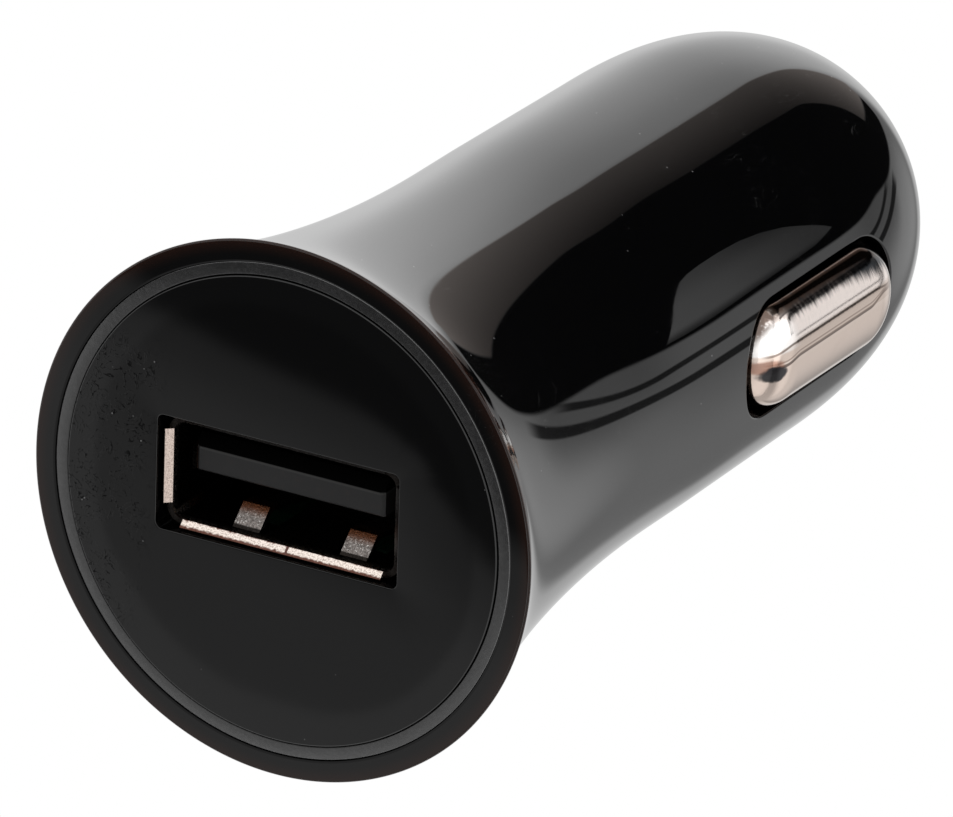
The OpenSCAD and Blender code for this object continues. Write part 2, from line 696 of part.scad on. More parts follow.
module schottky_diode() {
    z = coil_z + diode_l / 2 + 2 * part_gap;
    color([0.14, 0.14, 0.15]) {
        slab(0, board_under + 0.15 + diode_h / 2, diode_w, diode_h, z - diode_l / 2, z + diode_l / 2);
        for (end = [z - diode_l / 2 - 0.4, z + diode_l / 2 - 0.05])
            slab(0, board_under + 0.65, diode_w - 1.2, 1.3 - 2 * seat, end, end + 0.45);
    }
}

module surface_fuse() {
    z = in_cap_z + solder_r + part_gap;
    color([0.1, 0.32, 0.3]) {
        slab(0, board_under + seat + 0.4, fuse_l - 0.6, 0.74, z, z + fuse_w - 0.06);
        for (side = [-1, 1])
            slab(side * (fuse_l / 2 - 0.3), board_under + seat + 0.4, 0.6, 0.8, z, z + fuse_w);
    }
}

// Places of the small chips, as sideways and lengthwise distances under the board
cap_x = (board_slim - cap_w) / 2 - part_gap - 0.35;
resistor_places = [
    [-chip_x, carrier_end + 1.1 * res_l], [chip_x, carrier_end + 1.1 * res_l],
    [-chip_x, coil_z + 0.55 * res_l], [chip_x, coil_z + 0.55 * res_l], [chip_x, coil_z + 2.1 * res_l]
];
capacitor_places = [
    [-cap_x, coil_z + 2.1 * res_l], [port_x, board_z0 + 1.4 * res_l], [cap_x, in_cap_z + 0.8 * res_l]
];

// A small ceramic chip with metal ends
module chip(x, z, w, h, len) {
    y = board_under + seat + h / 2;
    slab(x, y, w - 0.1, h - 0.06, z - len / 2 + 0.1, z + len / 2 - 0.1);
    for (end = [z - len / 2, z + len / 2 - 0.4]) slab(x, y, w, h, end, end + 0.4);
}

module chip_resistors() {
    color([0.1, 0.1, 0.1]) for (p = resistor_places) chip(p.x, p.y, res_w, 0.5, res_l);
}

module chip_capacitors() {
    color([0.62, 0.5, 0.36]) for (p = capacitor_places) chip(p.x, p.y, cap_w, 0.95, cap_l);
}

// A cone of solder round a lead under the board
module solder_cone(r) {
    translate([0, board_under + seat, 0]) rotate([-90, 0, 0]) difference() {
        cylinder(r1 = solder_r, r2 = r + 0.12, h = solder_h, $fn = 32);
        translate([0, 0, -1]) cylinder(r = r + 0.02, h = 3, $fn = 32);
    }
}

module solder_joints() {
    color([0.75, 0.76, 0.78]) {
        lead_places() solder_cone(lead_r);
        for (x = pin_xs) translate([port_x + x, 0, pin_leg_z]) solder_cone(lead_r * 1.2);
    }
}

// Half outline of a side contact's dome: distance from its middle line against height
function dome_points(w, wall_top, crown, base) = concat(
    [[0, base], [w, base]],
    [for (a = [0 : 9 : 90])
        [w * pow(cos(a), 2 / dome_power), wall_top + crown * pow(sin(a), 2 / dome_power)]]);

// Dome with round ends: two turned ends and a straight middle, all of one outline
module dome_form(inset, base) {
    w = dome_w / 2 - inset;
    points = dome_points(w, dome_wall_top, dome_crown - inset, base);
    z0 = dome_z0 + dome_w / 2;
    z1 = dome_z1 - dome_w / 2;
    for (z = [z0, z1]) translate([0, 0, z]) rotate([0, 90, 0]) rotate_extrude() polygon(points);
    translate([0, 0, z0]) linear_extrude(z1 - z0)
        polygon(concat(
            [for (p = points) [p.y, p.x]],
            [for (i = [len(points) - 1 : -1 : 0]) [points[i].y, -points[i].x]]));
}

// One stamped side contact: rolled eye, leaf, flange and hollow dome
module side_contact() {
    color([0.78, 0.74, 0.7]) {
        difference() {
            union() {
                plate_x(leaf_x - leaf_t, leaf_x) {
                    translate([0, flange_z0]) obround(2 * flange_half, flange_z1 - flange_z0);
                    translate([-leaf_w / 2, hinge_z]) square([leaf_w, dome_z0 - hinge_z + 3]);
                }
                dome_form(0, leaf_x - leaf_t);
            }
            dome_form(leaf_t, leaf_x - leaf_t - 1);
        }
        difference() {
            translate([hinge_x, -leaf_w / 2, hinge_z]) rotate([-90, 0, 0])
                cylinder(r = eye_r, h = leaf_w / 2 + wiper_y + leaf_t);
            translate([hinge_x, -leaf_w, hinge_z]) rotate([-90, 0, 0])
                cylinder(r = eye_r - leaf_t, h = 3 * leaf_w);
        }
    }
}

// Finger on the eye's end that wipes the board's ground pad
module wiper() {
    color([0.78, 0.74, 0.7]) translate([wiper_x, wiper_y, hinge_z - 0.5])
        cube([hinge_x - eye_r + 0.2 - wiper_x, leaf_t, 1]);
}

module side_contact_right() {
    side_contact();
    wiper();
}

module side_contact_left() {
    mirror([1, 0, 0]) {
        side_contact();
        wiper();
    }
}

module nose_contact() {
    straight = shell_l + tip_out * 0.4;
    color([0.78, 0.74, 0.7]) rotate_extrude() polygon(concat(
        [[0, spring_top - boss_l], [boss_r, spring_top - boss_l], [boss_r, spring_top + seat],
        [tip_flange_r, spring_top + seat], [tip_flange_r, tip_shoulder], [tip_r, tip_shoulder]],
        [for (a = [0 : 9 : 90])
            [tip_r * pow(cos(a), 0.8), straight + (tip_z - straight) * pow(sin(a), 0.8)]]));
}

// Helix of the nose spring, with a closed turn at each end
function coil_lift(u) =
    let (rest = spring_top - spring_bottom - wire_d, dead = wire_d * 1.08, live = coil_turns - 2)
    u < 1 ? dead * u : u > coil_turns - 1 ? rest - dead * (coil_turns - u)
    : dead + (rest - 2 * dead) * (u - 1) / live;
module nose_spring() {
    per_turn = 20;
    sides = 8;
    rings = coil_turns * per_turn;
    points = [for (i = [0 : rings], s = [0 : sides - 1])
        let (a = 360 * i / per_turn, b = 360 * s / sides, r = coil_r + wire_d / 2 * cos(b))
        [r * cos(a), r * sin(a), spring_bottom + coil_lift(i / per_turn) + wire_d / 2 * (1 + sin(b))]];
    skin = [for (i = [0 : rings - 1], s = [0 : sides - 1])
        let (p = i * sides, q = p + sides, next = (s + 1) % sides) [p + s, p + next, q + next, q + s]];
    color([0.75, 0.76, 0.78]) polyhedron(points = points, convexity = 8, faces = concat(
        skin, [[for (s = [sides - 1 : -1 : 0]) s]], [[for (s = [0 : sides - 1]) rings * sides + s]]));
}

// Plate and stub under the nose spring, with a fork that grips the board's end
module spring_seat() {
    fork_t = 0.5;
    fork_w = 4;
    fork_l = 2.4;
    lower = board_under + 0.05 + fork_t;
    color([0.8, 0.65, 0.35]) {
        translate([0, 0, plate_z]) cylinder(r = coil_r + wire_d, h = seat_t);
        translate([0, 0, plate_z]) cylinder(r = boss_r, h = stub_top - plate_z);
        slab(0, lower / 2, fork_w, lower, plate_z, plate_z + seat_t);
        for (y = [board_y - 0.05 - fork_t / 2, board_under + 0.05 + fork_t / 2])
            slab(0, y, fork_w, fork_t, plate_z - fork_l, plate_z + seat_t);
    }
}

barrel_shell();
face_disc();
light_ring();
usb_shell();
usb_insulator();
usb_contact_power();
usb_contact_data_minus();
usb_contact_data_plus();
usb_contact_ground();
circuit_board();
board_carrier();
status_led();
output_capacitor();
input_capacitor();
inductor_core();
inductor_winding();
regulator_chip();
schottky_diode();
surface_fuse();
chip_resistors();
chip_capacitors();
solder_joints();
side_contact_right();
side_contact_left();
nose_contact();
nose_spring();
spring_seat();
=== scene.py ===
"""Car USB charger plug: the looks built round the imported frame.

Lengths are in millimetres and angles in degrees unless a name says otherwise. Colours are linear.
"""
import json
import math

import bmesh
import bpy
from mathutils import Matrix, Vector
from mathutils.geometry import delaunay_2d_cdt


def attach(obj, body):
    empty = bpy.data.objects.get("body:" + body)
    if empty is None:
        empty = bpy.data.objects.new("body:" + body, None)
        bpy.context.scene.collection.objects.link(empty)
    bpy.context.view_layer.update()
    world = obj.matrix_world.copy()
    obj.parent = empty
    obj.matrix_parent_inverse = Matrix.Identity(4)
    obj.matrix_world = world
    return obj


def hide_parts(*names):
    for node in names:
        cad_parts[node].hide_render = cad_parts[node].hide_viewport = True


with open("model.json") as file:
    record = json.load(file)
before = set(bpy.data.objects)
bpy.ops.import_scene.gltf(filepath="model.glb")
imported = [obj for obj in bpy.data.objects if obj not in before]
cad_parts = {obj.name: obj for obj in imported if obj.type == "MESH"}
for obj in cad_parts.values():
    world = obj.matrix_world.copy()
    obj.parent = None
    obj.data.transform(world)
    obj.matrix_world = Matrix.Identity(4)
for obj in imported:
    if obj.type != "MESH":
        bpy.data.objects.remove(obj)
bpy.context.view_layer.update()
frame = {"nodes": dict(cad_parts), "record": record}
MM = 0.001
PER_METRE = 1000

# Sizes that the finer surfaces share with the solids. DISC_R, RING_OUT_R and RING_RECESS are up to 0.15 off
# them, which suits the photograph better.
RIM_R, BARREL_R, NOSE_ROOT_R = 14.0, 10.48, 10.37
FLARE_L, FLARE_POWER, LIP_SHARE, LIP_DECAY = 24.0, 2.05, 0.15, 2.3
BAND_END, NOSE_Z, SHELL_L, NOSE_POWER = 27.2, 37.7, 53.15, 2.62
WALL, SHOULDER_Z, CHAMBER_R, BORE_END_Z = 1.4, 50.25, 3.55, 3.0
SLOT_Z0, SLOT_Z1, SLOT_W, SLOT_Y, SLOT_EDGE = 27.4, 42.55, 6.3, 0.15, 0.13
SEAT_R, SEAT_Z, RIM_EDGE = 12.81, 2.2, 0.12
HOLE_R, HOLE_EDGE, HOLE_DIP = 2.56, 0.12, 0.14
DISC_R, DISC_T, DISC_EDGE, RING_GAP = 12.08, 1.4, 0.08, 0.03
RING_OUT_R, RING_RECESS, RING_EDGE_IN, RING_EDGE_OUT = 12.79, 0.07, 0.09, 0.06
RING_FLANGE_L, RING_FLANGE_Z0, RING_FLANGE_Z1 = 1.45, 1.45, 2.15
PORT_X, PORT_Y, PORT_W, PORT_H = -0.25, -0.5, 13.1, 5.7
CUT_MORE_W, CUT_MORE_H, CUT_CORNER, CUT_LIP = 0.5, 0.3, 0.35, 0.07
COLLAR_L, COLLAR_INSIDE, COLLAR_OUTSIDE = 2.0, (0.08, 0.9), (0.83, 1.65)
LEG_IN, LEG_T, LEG_HALF_W, BARB = 1.6, 0.9, 1.5, 0.45
LEG_Z0, BARB_Z0, BARB_Z1, LEG_Z1 = 1.39, 2.2, 2.6, 4.2
LEAF_X, LEAF_T, LEAF_HALF_W, LEAF_UNDER_DOME = 8.0514, 0.35, 2.0, 3.0
HINGE_X, HINGE_Z, EYE_R, EYE_BORE_R, EYE_Y = 7.2514, 16.9, 0.8, 0.45, (-2.0, 2.3)
WIPER_X, WIPER_Y, WIPER_HALF_W = (4.5, 6.65), (1.95, 2.3), 0.5
DOME_W, DOME_Z0, DOME_Z1, DOME_TOP, DOME_CROWN, DOME_POWER = 5.5, 27.95, 41.65, 11.53, 1.9, 2.4
DOME_FLANGE, DOME_FLANGE_Z1 = 0.95, 43.15

# The shell's mesh: columns of the lathe, and the stretch round each slot that is filled with triangles
TURNS = 288
WINDOW_Z0, WINDOW_Z1, WINDOW_SPAN, UNROLL_R = 26.3, 43.8, 20, 10.4
SLOT_FREE, SLOT_INSIDE = 0.16, -1e-4
OVERLAP, SKIN = 0.01, 0.001
MERGE_M = 2e-7

# The camera that was fitted to the photograph, as rows of its turn, its place in metres and its focal length
CAMERA_RIGHT = Vector((0.863048, -0.028387, 0.504323))
CAMERA_DOWN = Vector((0.221051, 0.918964, -0.326559))
CAMERA_AHEAD = Vector((-0.454185, 0.393317, 0.799385))
CAMERA_AT_M = Vector((0.3582, -0.3089633, -0.6116099))
FOCAL_PIXELS, PHOTO_W_PIXELS, SENSOR_W = 16000, 953, 36

# Floor, and the cards that show only in reflections
FLOOR_Z, FLOOR_HOLE_R, FLOOR_R = -0.1, 13.9, 2500
LENS_CARD_X, FACE_CARD_Z, WHITE_CARD_Z, WHITE_CARD_GLOW = 17, -18.0, 1, 1.35
FACE_CARD_AT = (0.568 * FACE_CARD_Z, -0.492 * FACE_CARD_Z)
FACE_CARD = [(-24, -22), (20, -22), (20, 20), (-24, 20)]
WHITE_CARD = [(30, -60), (30, 4), (2400, 410), (2400, -730)]
LENS_CARD = [
    (-4.1, 31.7), (-5.4, 32.6), (-6.7, 33.5), (-7.8, 34.3), (-8.7, 35.1), (-9.6, 36.0), (-10.4, 36.9),
    (-10.9, 37.9), (-11.1, 39.2), (-11.1, 41.3), (-10.8, 43.5), (-10.1, 44.9), (-8.8, 46.3), (-7.1, 47.4),
    (-5.2, 48.6), (-4.4, 46.3), (-4.2, 42.0), (-4.1, 38.0), (-4.0, 34.0), (-4.0, 32.8)]
LAMP_AT_M, LAMP_SIZE_M, LAMP_WATTS = Vector((-0.35, -0.25, 0.95)), 0.9, 7

# Nodes of the CAD whose edges are rounded, with the widths
ROUNDED = {"usb_shell": 0.05, "usb_insulator": 0.07, "nose_contact": 0.08, "circuit_board": 0.05,
           "board_carrier": 0.1, "regulator_chip": 0.06, "schottky_diode": 0.1, "surface_fuse": 0.05}


def smooth_step(start, end, x):
    t = min(max((x - start) / (end - start), 0.0), 1.0)
    return t * t * (3 - 2 * t)


def steps(start, end, count):
    """Values from start to end in equal steps, with both ends."""
    return [start + (end - start) * i / count for i in range(count + 1)]


def arc(cx, cy, r, a0, a1, n):
    """Points on an arc."""
    return [(cx + r * math.cos(a), cy + r * math.sin(a)) for a in map(math.radians, steps(a0, a1, n))]


def circle(r, n):
    return arc(0, 0, r, 0, 360, n)[:-1]


def band(low, high):
    """Faces between two closed rows of vertices."""
    n = len(low)
    return [(low[i], low[(i + 1) % n], high[(i + 1) % n], high[i]) for i in range(n)]


def add_row(verts, points):
    """Adds points to the vertices, and gives their numbers."""
    start = len(verts)
    verts.extend(points)
    return list(range(start, len(verts)))


def lathe(points, turns=TURNS, closed=True):
    """Vertices and faces of (radius, z) points turned about Z."""
    verts = []
    rows = [add_row(verts, [(x, y, z) for x, y in circle(r, turns)]) for r, z in points]
    following = rows[1:] + rows[:1] if closed else rows[1:]
    return verts, [face for low, high in zip(rows, following) for face in band(low, high)]


def link_object(name, data):
    obj = bpy.data.objects.new(name, data)
    bpy.context.collection.objects.link(obj)
    return obj


def build_mesh(name, verts, faces, sharp, merge=True):
    """A smooth mesh from points in millimetres; edges over the angle sharp stay sharp."""
    mesh = bpy.data.meshes.new(name)
    mesh.from_pydata([Vector(v) * MM for v in verts], [], faces)
    bm = bmesh.new()
    bm.from_mesh(mesh)
    if merge:
        bmesh.ops.remove_doubles(bm, verts=bm.verts, dist=MERGE_M)
    bmesh.ops.recalc_face_normals(bm, faces=bm.faces)
    bm.to_mesh(mesh)
    bm.free()
    mesh.shade_smooth()
    mesh.set_sharp_from_angle(angle=math.radians(sharp))
    return mesh


def make_object(name, verts, faces, sharp=35):
    return link_object(name, build_mesh(name, verts, faces, sharp))


def outer_radius(z):
    """Radius of the shell's outline at a distance from the front."""
    if z < FLARE_L:
        t = 1 - z / FLARE_L
        share = (1 - LIP_SHARE) * t ** FLARE_POWER + LIP_SHARE * math.exp(-z / LIP_DECAY) * t
        return BARREL_R + (RIM_R - BARREL_R) * share
    if z < BAND_END:
        return BARREL_R
    if z < NOSE_Z:
        return BARREL_R + (NOSE_ROOT_R - BARREL_R) * (z - BAND_END) / (NOSE_Z - BAND_END)
    share = 1 - ((z - NOSE_Z) / (SHELL_L - NOSE_Z)) ** NOSE_POWER
    return NOSE_ROOT_R * max(share, 0) ** (1 / NOSE_POWER)


def inner_radius(z):
    """Radius of the shell's bore."""
    if z < NOSE_Z:
        return outer_radius(z) - WALL
    share = 1 - ((z - NOSE_Z) / (SHOULDER_Z - NOSE_Z)) ** NOSE_POWER
    return (NOSE_ROOT_R - WALL) * max(share, 0) ** (1 / NOSE_POWER)


def nose_curve(root_r, end_z, count):
    """Points of the nose's superelliptic curve from its root to its end."""
    power = 2 / NOSE_POWER
    return [(root_r * math.cos(a) ** power, NOSE_Z + (end_z - NOSE_Z) * math.sin(a) ** power)
            for a in map(math.radians, steps(0, 90, count)[1:])]


def shell_profile():
    """The shell's closed outline, and the (first, end) rows of its gloss side and of the slots out and in."""
    corner = outer_radius(RIM_EDGE) - RIM_EDGE
    rim = [(SEAT_R + 0.12, 0), (corner - 0.1, 0)] + arc(corner, RIM_EDGE, RIM_EDGE, -90, -15, 5)
    flare = [RIM_EDGE + (FLARE_L - RIM_EDGE) * share ** 1.25 for share in steps(0, 1, 110)]
    straight = steps(FLARE_L, WINDOW_Z0, 6)[1:]
    window = steps(WINDOW_Z0, WINDOW_Z1, 56)[1:]
    nose = [(r, z) for r, z in nose_curve(NOSE_ROOT_R, SHELL_L, 120)
            if z > WINDOW_Z1 + 0.05 and r > HOLE_R + 0.2]
    points = rim + [(outer_radius(z), z) for z in flare + straight + window] + nose
    slot_first = len(rim) + len(flare) + len(straight) - 1
    slot_end = slot_first + len(window)
    gloss_rows = (len(rim) - 1, len(points))
    points += arc(HOLE_R + HOLE_EDGE, SHELL_L - HOLE_DIP, HOLE_EDGE, 90, 180, 3)
    points += [(HOLE_R, SHOULDER_Z), (CHAMBER_R, SHOULDER_Z)]
    points += [(r, z) for r, z in reversed(nose_curve(NOSE_ROOT_R - WALL, SHOULDER_Z, 24))
               if z > WINDOW_Z1 + 0.1 and r > CHAMBER_R + 0.15]
    bore_window = steps(WINDOW_Z1, WINDOW_Z0, 20)
    bore_rows = (len(points), len(points) + len(bore_window) - 1)
    points += [(inner_radius(z), z) for z in bore_window + steps(FLARE_L, BORE_END_Z, 21)]
    points += [(inner_radius(SEAT_Z), SEAT_Z), (SEAT_R, SEAT_Z)]
    points += [(SEAT_R, 0.05), (SEAT_R + 0.015, 0.015), (SEAT_R + 0.05, 0)]
    return points, gloss_rows, (slot_first, slot_end), bore_rows


def slot_outline(grow):
    """The slot's outline in (y, z), grown outwards: points with their outward directions."""
    r = SLOT_W / 2
    out = []
    for turn, start, end in ((0, SLOT_Z1 - r, SLOT_Z0 + r), (180, SLOT_Z0 + r, SLOT_Z1 - r)):
        for y, z in arc(0, 0, 1, turn, turn + 180, 28):
            out.append((SLOT_Y + (r + grow) * y, start + (r + grow) * z, y, z))
        side_y, _, direction, _ = out[-1]
        out += [(side_y, z, direction, 0.0) for z in steps(start, end, 36)[1:-1]]
    return out


def near_slot(y, z, reach):
    """Whether a point is within reach of the slot's outline, or inside it."""
    middle = min(max(z, SLOT_Z0 + SLOT_W / 2), SLOT_Z1 - SLOT_W / 2)
    return math.hypot(y - SLOT_Y, z - middle) < SLOT_W / 2 + reach


def beside_slot(column):
    """Whether a column of the lathe crosses the stretch round a slot."""
    quarter = TURNS // 4
    return abs((column + quarter) % (2 * quarter) - quarter) < WINDOW_SPAN


def slot_patch(verts, centre, rows, radius, grow):
    """The slot's edge on one side of the wall, and the triangles from it to the turned surface round it."""
    side = 1 if centre == 0 else -1
    flat, numbers = [], []
    for row in range(rows[0], rows[1] + 1):
        for i in range(-WINDOW_SPAN, WINDOW_SPAN + 1):
            number = row * TURNS + (centre + i) % TURNS
            x, y, z = verts[number]
            border = row in rows or abs(i) == WINDOW_SPAN
            if border or not near_slot(y, z, grow + SLOT_FREE):
                flat.append(Vector((math.atan2(y, abs(x)) * UNROLL_R, z)))
                numbers.append(number)
    first = len(flat)
    edge_points = []
    for y, z, _, _ in slot_outline(grow):
        r = radius(z)
        edge_points.append((side * math.sqrt(r * r - y * y), y, z))
        flat.append(Vector((math.asin(y / r) * UNROLL_R, z)))
    edge = add_row(verts, edge_points)
    numbers += edge
    loop = [(first + i, first + (i + 1) % len(edge)) for i in range(len(edge))]
    made = delaunay_2d_cdt(flat, loop, [], 0, 1e-5)
    triangles = []
    for face in made[2]:
        sources = [made[3][v][0] for v in face]
        if all(s >= first for s in sources):
            middle = sum((flat[s] for s in sources), Vector((0, 0))) / 3
            if near_slot(math.sin(middle.x / UNROLL_R) * radius(middle.y), middle.y, grow + SLOT_INSIDE):
                continue
        triangles.append(tuple(numbers[s] for s in sources))
    return edge, triangles


def slot_faces(verts, centre, outer_rows, bore_rows):
    """Both patches of one slot, its rounded edge and its wall. Gives the outer edge's vertices and the faces."""
    side = 1 if centre == 0 else -1
    outer_edge, faces = slot_patch(verts, centre, outer_rows, outer_radius, SLOT_EDGE)
    inner_edge, more = slot_patch(verts, centre, bore_rows, inner_radius, 0.0)
    faces += more
    previous = outer_edge
    for a in map(math.radians, steps(0, 90, 6)[1:]):
        out, sink = SLOT_EDGE * (1 - math.sin(a)), SLOT_EDGE * (1 - math.cos(a))
        points = []
        for y, z, toward_y, toward_z in slot_outline(0.0):
            y, z = y + toward_y * out, z + toward_z * out
            r = outer_radius(z)
            points.append((side * (math.sqrt(r * r - y * y) - sink), y, z))
        row = add_row(verts, points)
        faces += band(previous, row)
        previous = row
    return outer_edge, faces + band(previous, inner_edge)


def set_gloss_normals(mesh, gloss):
    """Normals from the exact outline on the gloss side, eased where its curvature jumps at the band."""
    normals = {}
    for v in gloss:
        x, y, z = mesh.vertices[v].co / MM
        reach = 0.01 + 2.4 * smooth_step(17, 23, z) * (1 - smooth_step(39, 45, z))
        rise = outer_radius(min(z + reach, SHELL_L - 0.001)) - outer_radius(max(z - reach, 0))
        r = math.hypot(x, y)
        normals[v] = Vector((x / r, y / r, -rise / (2 * reach))).normalized()
    loops = [c.vector.copy() for c in mesh.corner_normals]
    for poly in mesh.polygons:
        if all(v in gloss for v in poly.vertices):
            for i in poly.loop_indices:
                loops[i] = normals[mesh.loops[i].vertex_index]
    mesh.normals_split_custom_set(loops)


def shell_mesh():
    """The shell as one closed skin: turned outline, and two slots with rounded edges."""
    points, gloss_rows, outer_rows, bore_rows = shell_profile()
    verts, turned = lathe(points)
    faces = []
    for face in turned:
        row, column = divmod(face[0], TURNS)
        crossed = any(first <= row < end for first, end in (outer_rows, bore_rows))
        if not (crossed and (beside_slot(column) or beside_slot(column + 1))):
            faces.append(face)
    gloss = set(range(gloss_rows[0] * TURNS, gloss_rows[1] * TURNS))
    for centre in (0, TURNS // 2):
        edge, more = slot_faces(verts, centre, outer_rows, bore_rows)
        faces += more
        gloss.update(edge)
    used = sorted({v for face in faces for v in face})
    place = {v: i for i, v in enumerate(used)}
    kept_faces = [[place[v] for v in face] for face in faces]
    mesh = build_mesh("shell_skin", [verts[v] for v in used], kept_faces, 32, merge=False)
    set_gloss_normals(mesh, {place[v] for v in gloss if v in place})
    return link_object("shell_skin", mesh)


def ring_mesh():
    """Light ring with softly rounded front edges, and its flange under the disc."""
    inside, flange_r = DISC_R + RING_GAP, DISC_R - RING_FLANGE_L
    points = [(inside, RING_FLANGE_Z0)]
    points += arc(inside + RING_EDGE_IN, RING_RECESS + RING_EDGE_IN, RING_EDGE_IN, 180, 270, 6)
    points += arc(RING_OUT_R - RING_EDGE_OUT, RING_RECESS + RING_EDGE_OUT, RING_EDGE_OUT, 270, 360, 6)
    points += [(RING_OUT_R, RING_FLANGE_Z1), (flange_r, RING_FLANGE_Z1), (flange_r, RING_FLANGE_Z0)]
    return make_object("ring_lens", *lathe(points))


def port_rect(more_w, more_h, corner):
    """A rounded rectangle round the port's centre, larger than the port by more_w and more_h."""
    w, h = PORT_W + more_w, PORT_H + more_h
    out = []
    for sx, sy, turn in ((1, 1, 0), (-1, 1, 90), (-1, -1, 180), (1, -1, 270)):
        cx, cy = PORT_X + sx * (w / 2 - corner), PORT_Y + sy * (h / 2 - corner)
        out += arc(cx, cy, corner, turn, turn + 90, 8)
    return out


def sheet(verts, outside, inside):
    """Flat triangles between an outer row of vertices and an inner one."""
    numbers = outside + inside
    flat = [Vector(verts[v][:2]) for v in numbers]
    first = len(outside)
    loop = [(i, (i + 1) % first) for i in range(first)]
    loop += [(first + i, first + (i + 1) % len(inside)) for i in range(len(inside))]
    made = delaunay_2d_cdt(flat, loop, [], 0, 1e-6)
    triangles = [[made[3][v][0] for v in face] for face in made[2]]
    return [tuple(numbers[s] for s in t) for t in triangles if not all(s >= first for s in t)]


def disc_mesh():
    """Face disc: rounded outer edge, cut-out with a rounded lip, collar and legs behind it."""
    verts, faces = [], []

    def row_at(z, points):
        return add_row(verts, [(x, y, z) for x, y in points])

    def cut_out(grow):
        return port_rect(CUT_MORE_W + 2 * grow, CUT_MORE_H + 2 * grow, CUT_CORNER + grow)

    rows_out, rows_in = [], []
    for a in map(math.radians, steps(0, 90, 5)):
        back, depth = 1 - math.sin(a), 1 - math.cos(a)
        rows_out.append(row_at(DISC_EDGE * depth, circle(DISC_R - DISC_EDGE * back, TURNS)))
        rows_in.append(row_at(CUT_LIP * depth, cut_out(CUT_LIP * back)))
    rows_out.append(row_at(DISC_T, circle(DISC_R, TURNS)))
    rows_in.append(row_at(DISC_T, cut_out(0)))
    for rows in (rows_out, rows_in):
        for low, high in zip(rows, rows[1:]):
            faces += band(low, high)
    for i in (0, -1):
        faces += sheet(verts, rows_out[i], rows_in[i])

    collar = [port_rect(2 * grow, 2 * grow, corner) for grow, corner in (COLLAR_INSIDE, COLLAR_OUTSIDE)]
    low_in, low_out = (row_at(DISC_T - OVERLAP, points) for points in collar)
    high_in, high_out = (row_at(DISC_T + COLLAR_L, points) for points in collar)
    for a, b in ((low_in, high_in), (low_out, high_out), (low_in, low_out), (high_in, high_out)):
        faces += band(a, b)

    leg = DISC_R - LEG_IN
    shape = [(leg - LEG_T, LEG_Z0), (leg, LEG_Z0), (leg, BARB_Z0), (leg + BARB, BARB_Z0), (leg + BARB, BARB_Z1),
             (leg, LEG_Z1), (leg - LEG_T, LEG_Z1)]
    for turn in (45, 135, 225, 315):
        c, s = math.cos(math.radians(turn)), math.sin(math.radians(turn))
        sides = [add_row(verts, [(x * c - y * s, x * s + y * c, z) for x, z in shape])
                 for y in (-LEG_HALF_W, LEG_HALF_W)]
        faces += band(*sides) + [tuple(sides[0]), tuple(reversed(sides[1]))]
    return make_object("face_plate", verts, faces, sharp=30)


def contact_mesh(name, side):
    """A side contact: smooth dome, flange, leaf, rolled eye and wiper."""
    verts, faces = [], []
    r = DOME_W / 2
    low, high = DOME_Z0 + r, DOME_Z1 - r
    path = [(y, z, high) for y, z in arc(0, 0, 1, 0, 180, 36)]
    path += [(-1.0, 0.0, z) for z in steps(high, low, 24)[1:-1]]
    path += [(y, z, low) for y, z in arc(0, 0, 1, 180, 360, 36)]
    path += [(1.0, 0.0, z) for z in steps(low, high, 24)[1:-1]]
    dome = [(r, LEAF_X - LEAF_T)]
    for a in map(math.radians, steps(0, 90, 40)):
        height = DOME_TOP - DOME_CROWN + DOME_CROWN * math.sin(a) ** (2 / DOME_POWER)
        dome.append((r * max(math.cos(a), 0) ** (2 / DOME_POWER), height))
    rows = [add_row(verts, [(x, y * reach, middle + z * reach) for y, z, middle in path]) for reach, x in dome]
    for a, b in zip(rows, rows[1:]):
        faces += band(a, b)
    faces.append(tuple(rows[0]))

    def prism(points, x0, x1):
        a, b = (add_row(verts, [(x, y, z) for y, z in points]) for x in (x0, x1))
        faces.extend(band(a, b) + [tuple(a), tuple(reversed(b))])

    flange_r = r + DOME_FLANGE
    outline = arc(0, DOME_FLANGE_Z1 - flange_r, flange_r, 0, 180, 32)
    outline += arc(0, DOME_Z0 - DOME_FLANGE + flange_r, flange_r, 180, 360, 32)
    prism(outline, LEAF_X - LEAF_T, LEAF_X)
    leaf_end = DOME_Z0 + LEAF_UNDER_DOME
    leaf = [(-LEAF_HALF_W, HINGE_Z), (LEAF_HALF_W, HINGE_Z), (LEAF_HALF_W, leaf_end), (-LEAF_HALF_W, leaf_end)]
    prism(leaf, LEAF_X - LEAF_T + SKIN, LEAF_X - SKIN)
    eye = [add_row(verts, [(HINGE_X + x, y, HINGE_Z + z) for x, z in circle(radius, 40)])
           for y in EYE_Y for radius in (EYE_R, EYE_BORE_R)]
    for a, b in ((0, 1), (1, 3), (3, 2), (2, 0)):
        faces += band(eye[a], eye[b])
    wiper_low, wiper_high = HINGE_Z - WIPER_HALF_W, HINGE_Z + WIPER_HALF_W
    y0, y1 = WIPER_Y
    prism([(y0, wiper_low), (y1, wiper_low), (y1, wiper_high), (y0, wiper_high)], *WIPER_X)
    return make_object(name, [(side * x, y, z) for x, y, z in verts], faces, sharp=32)


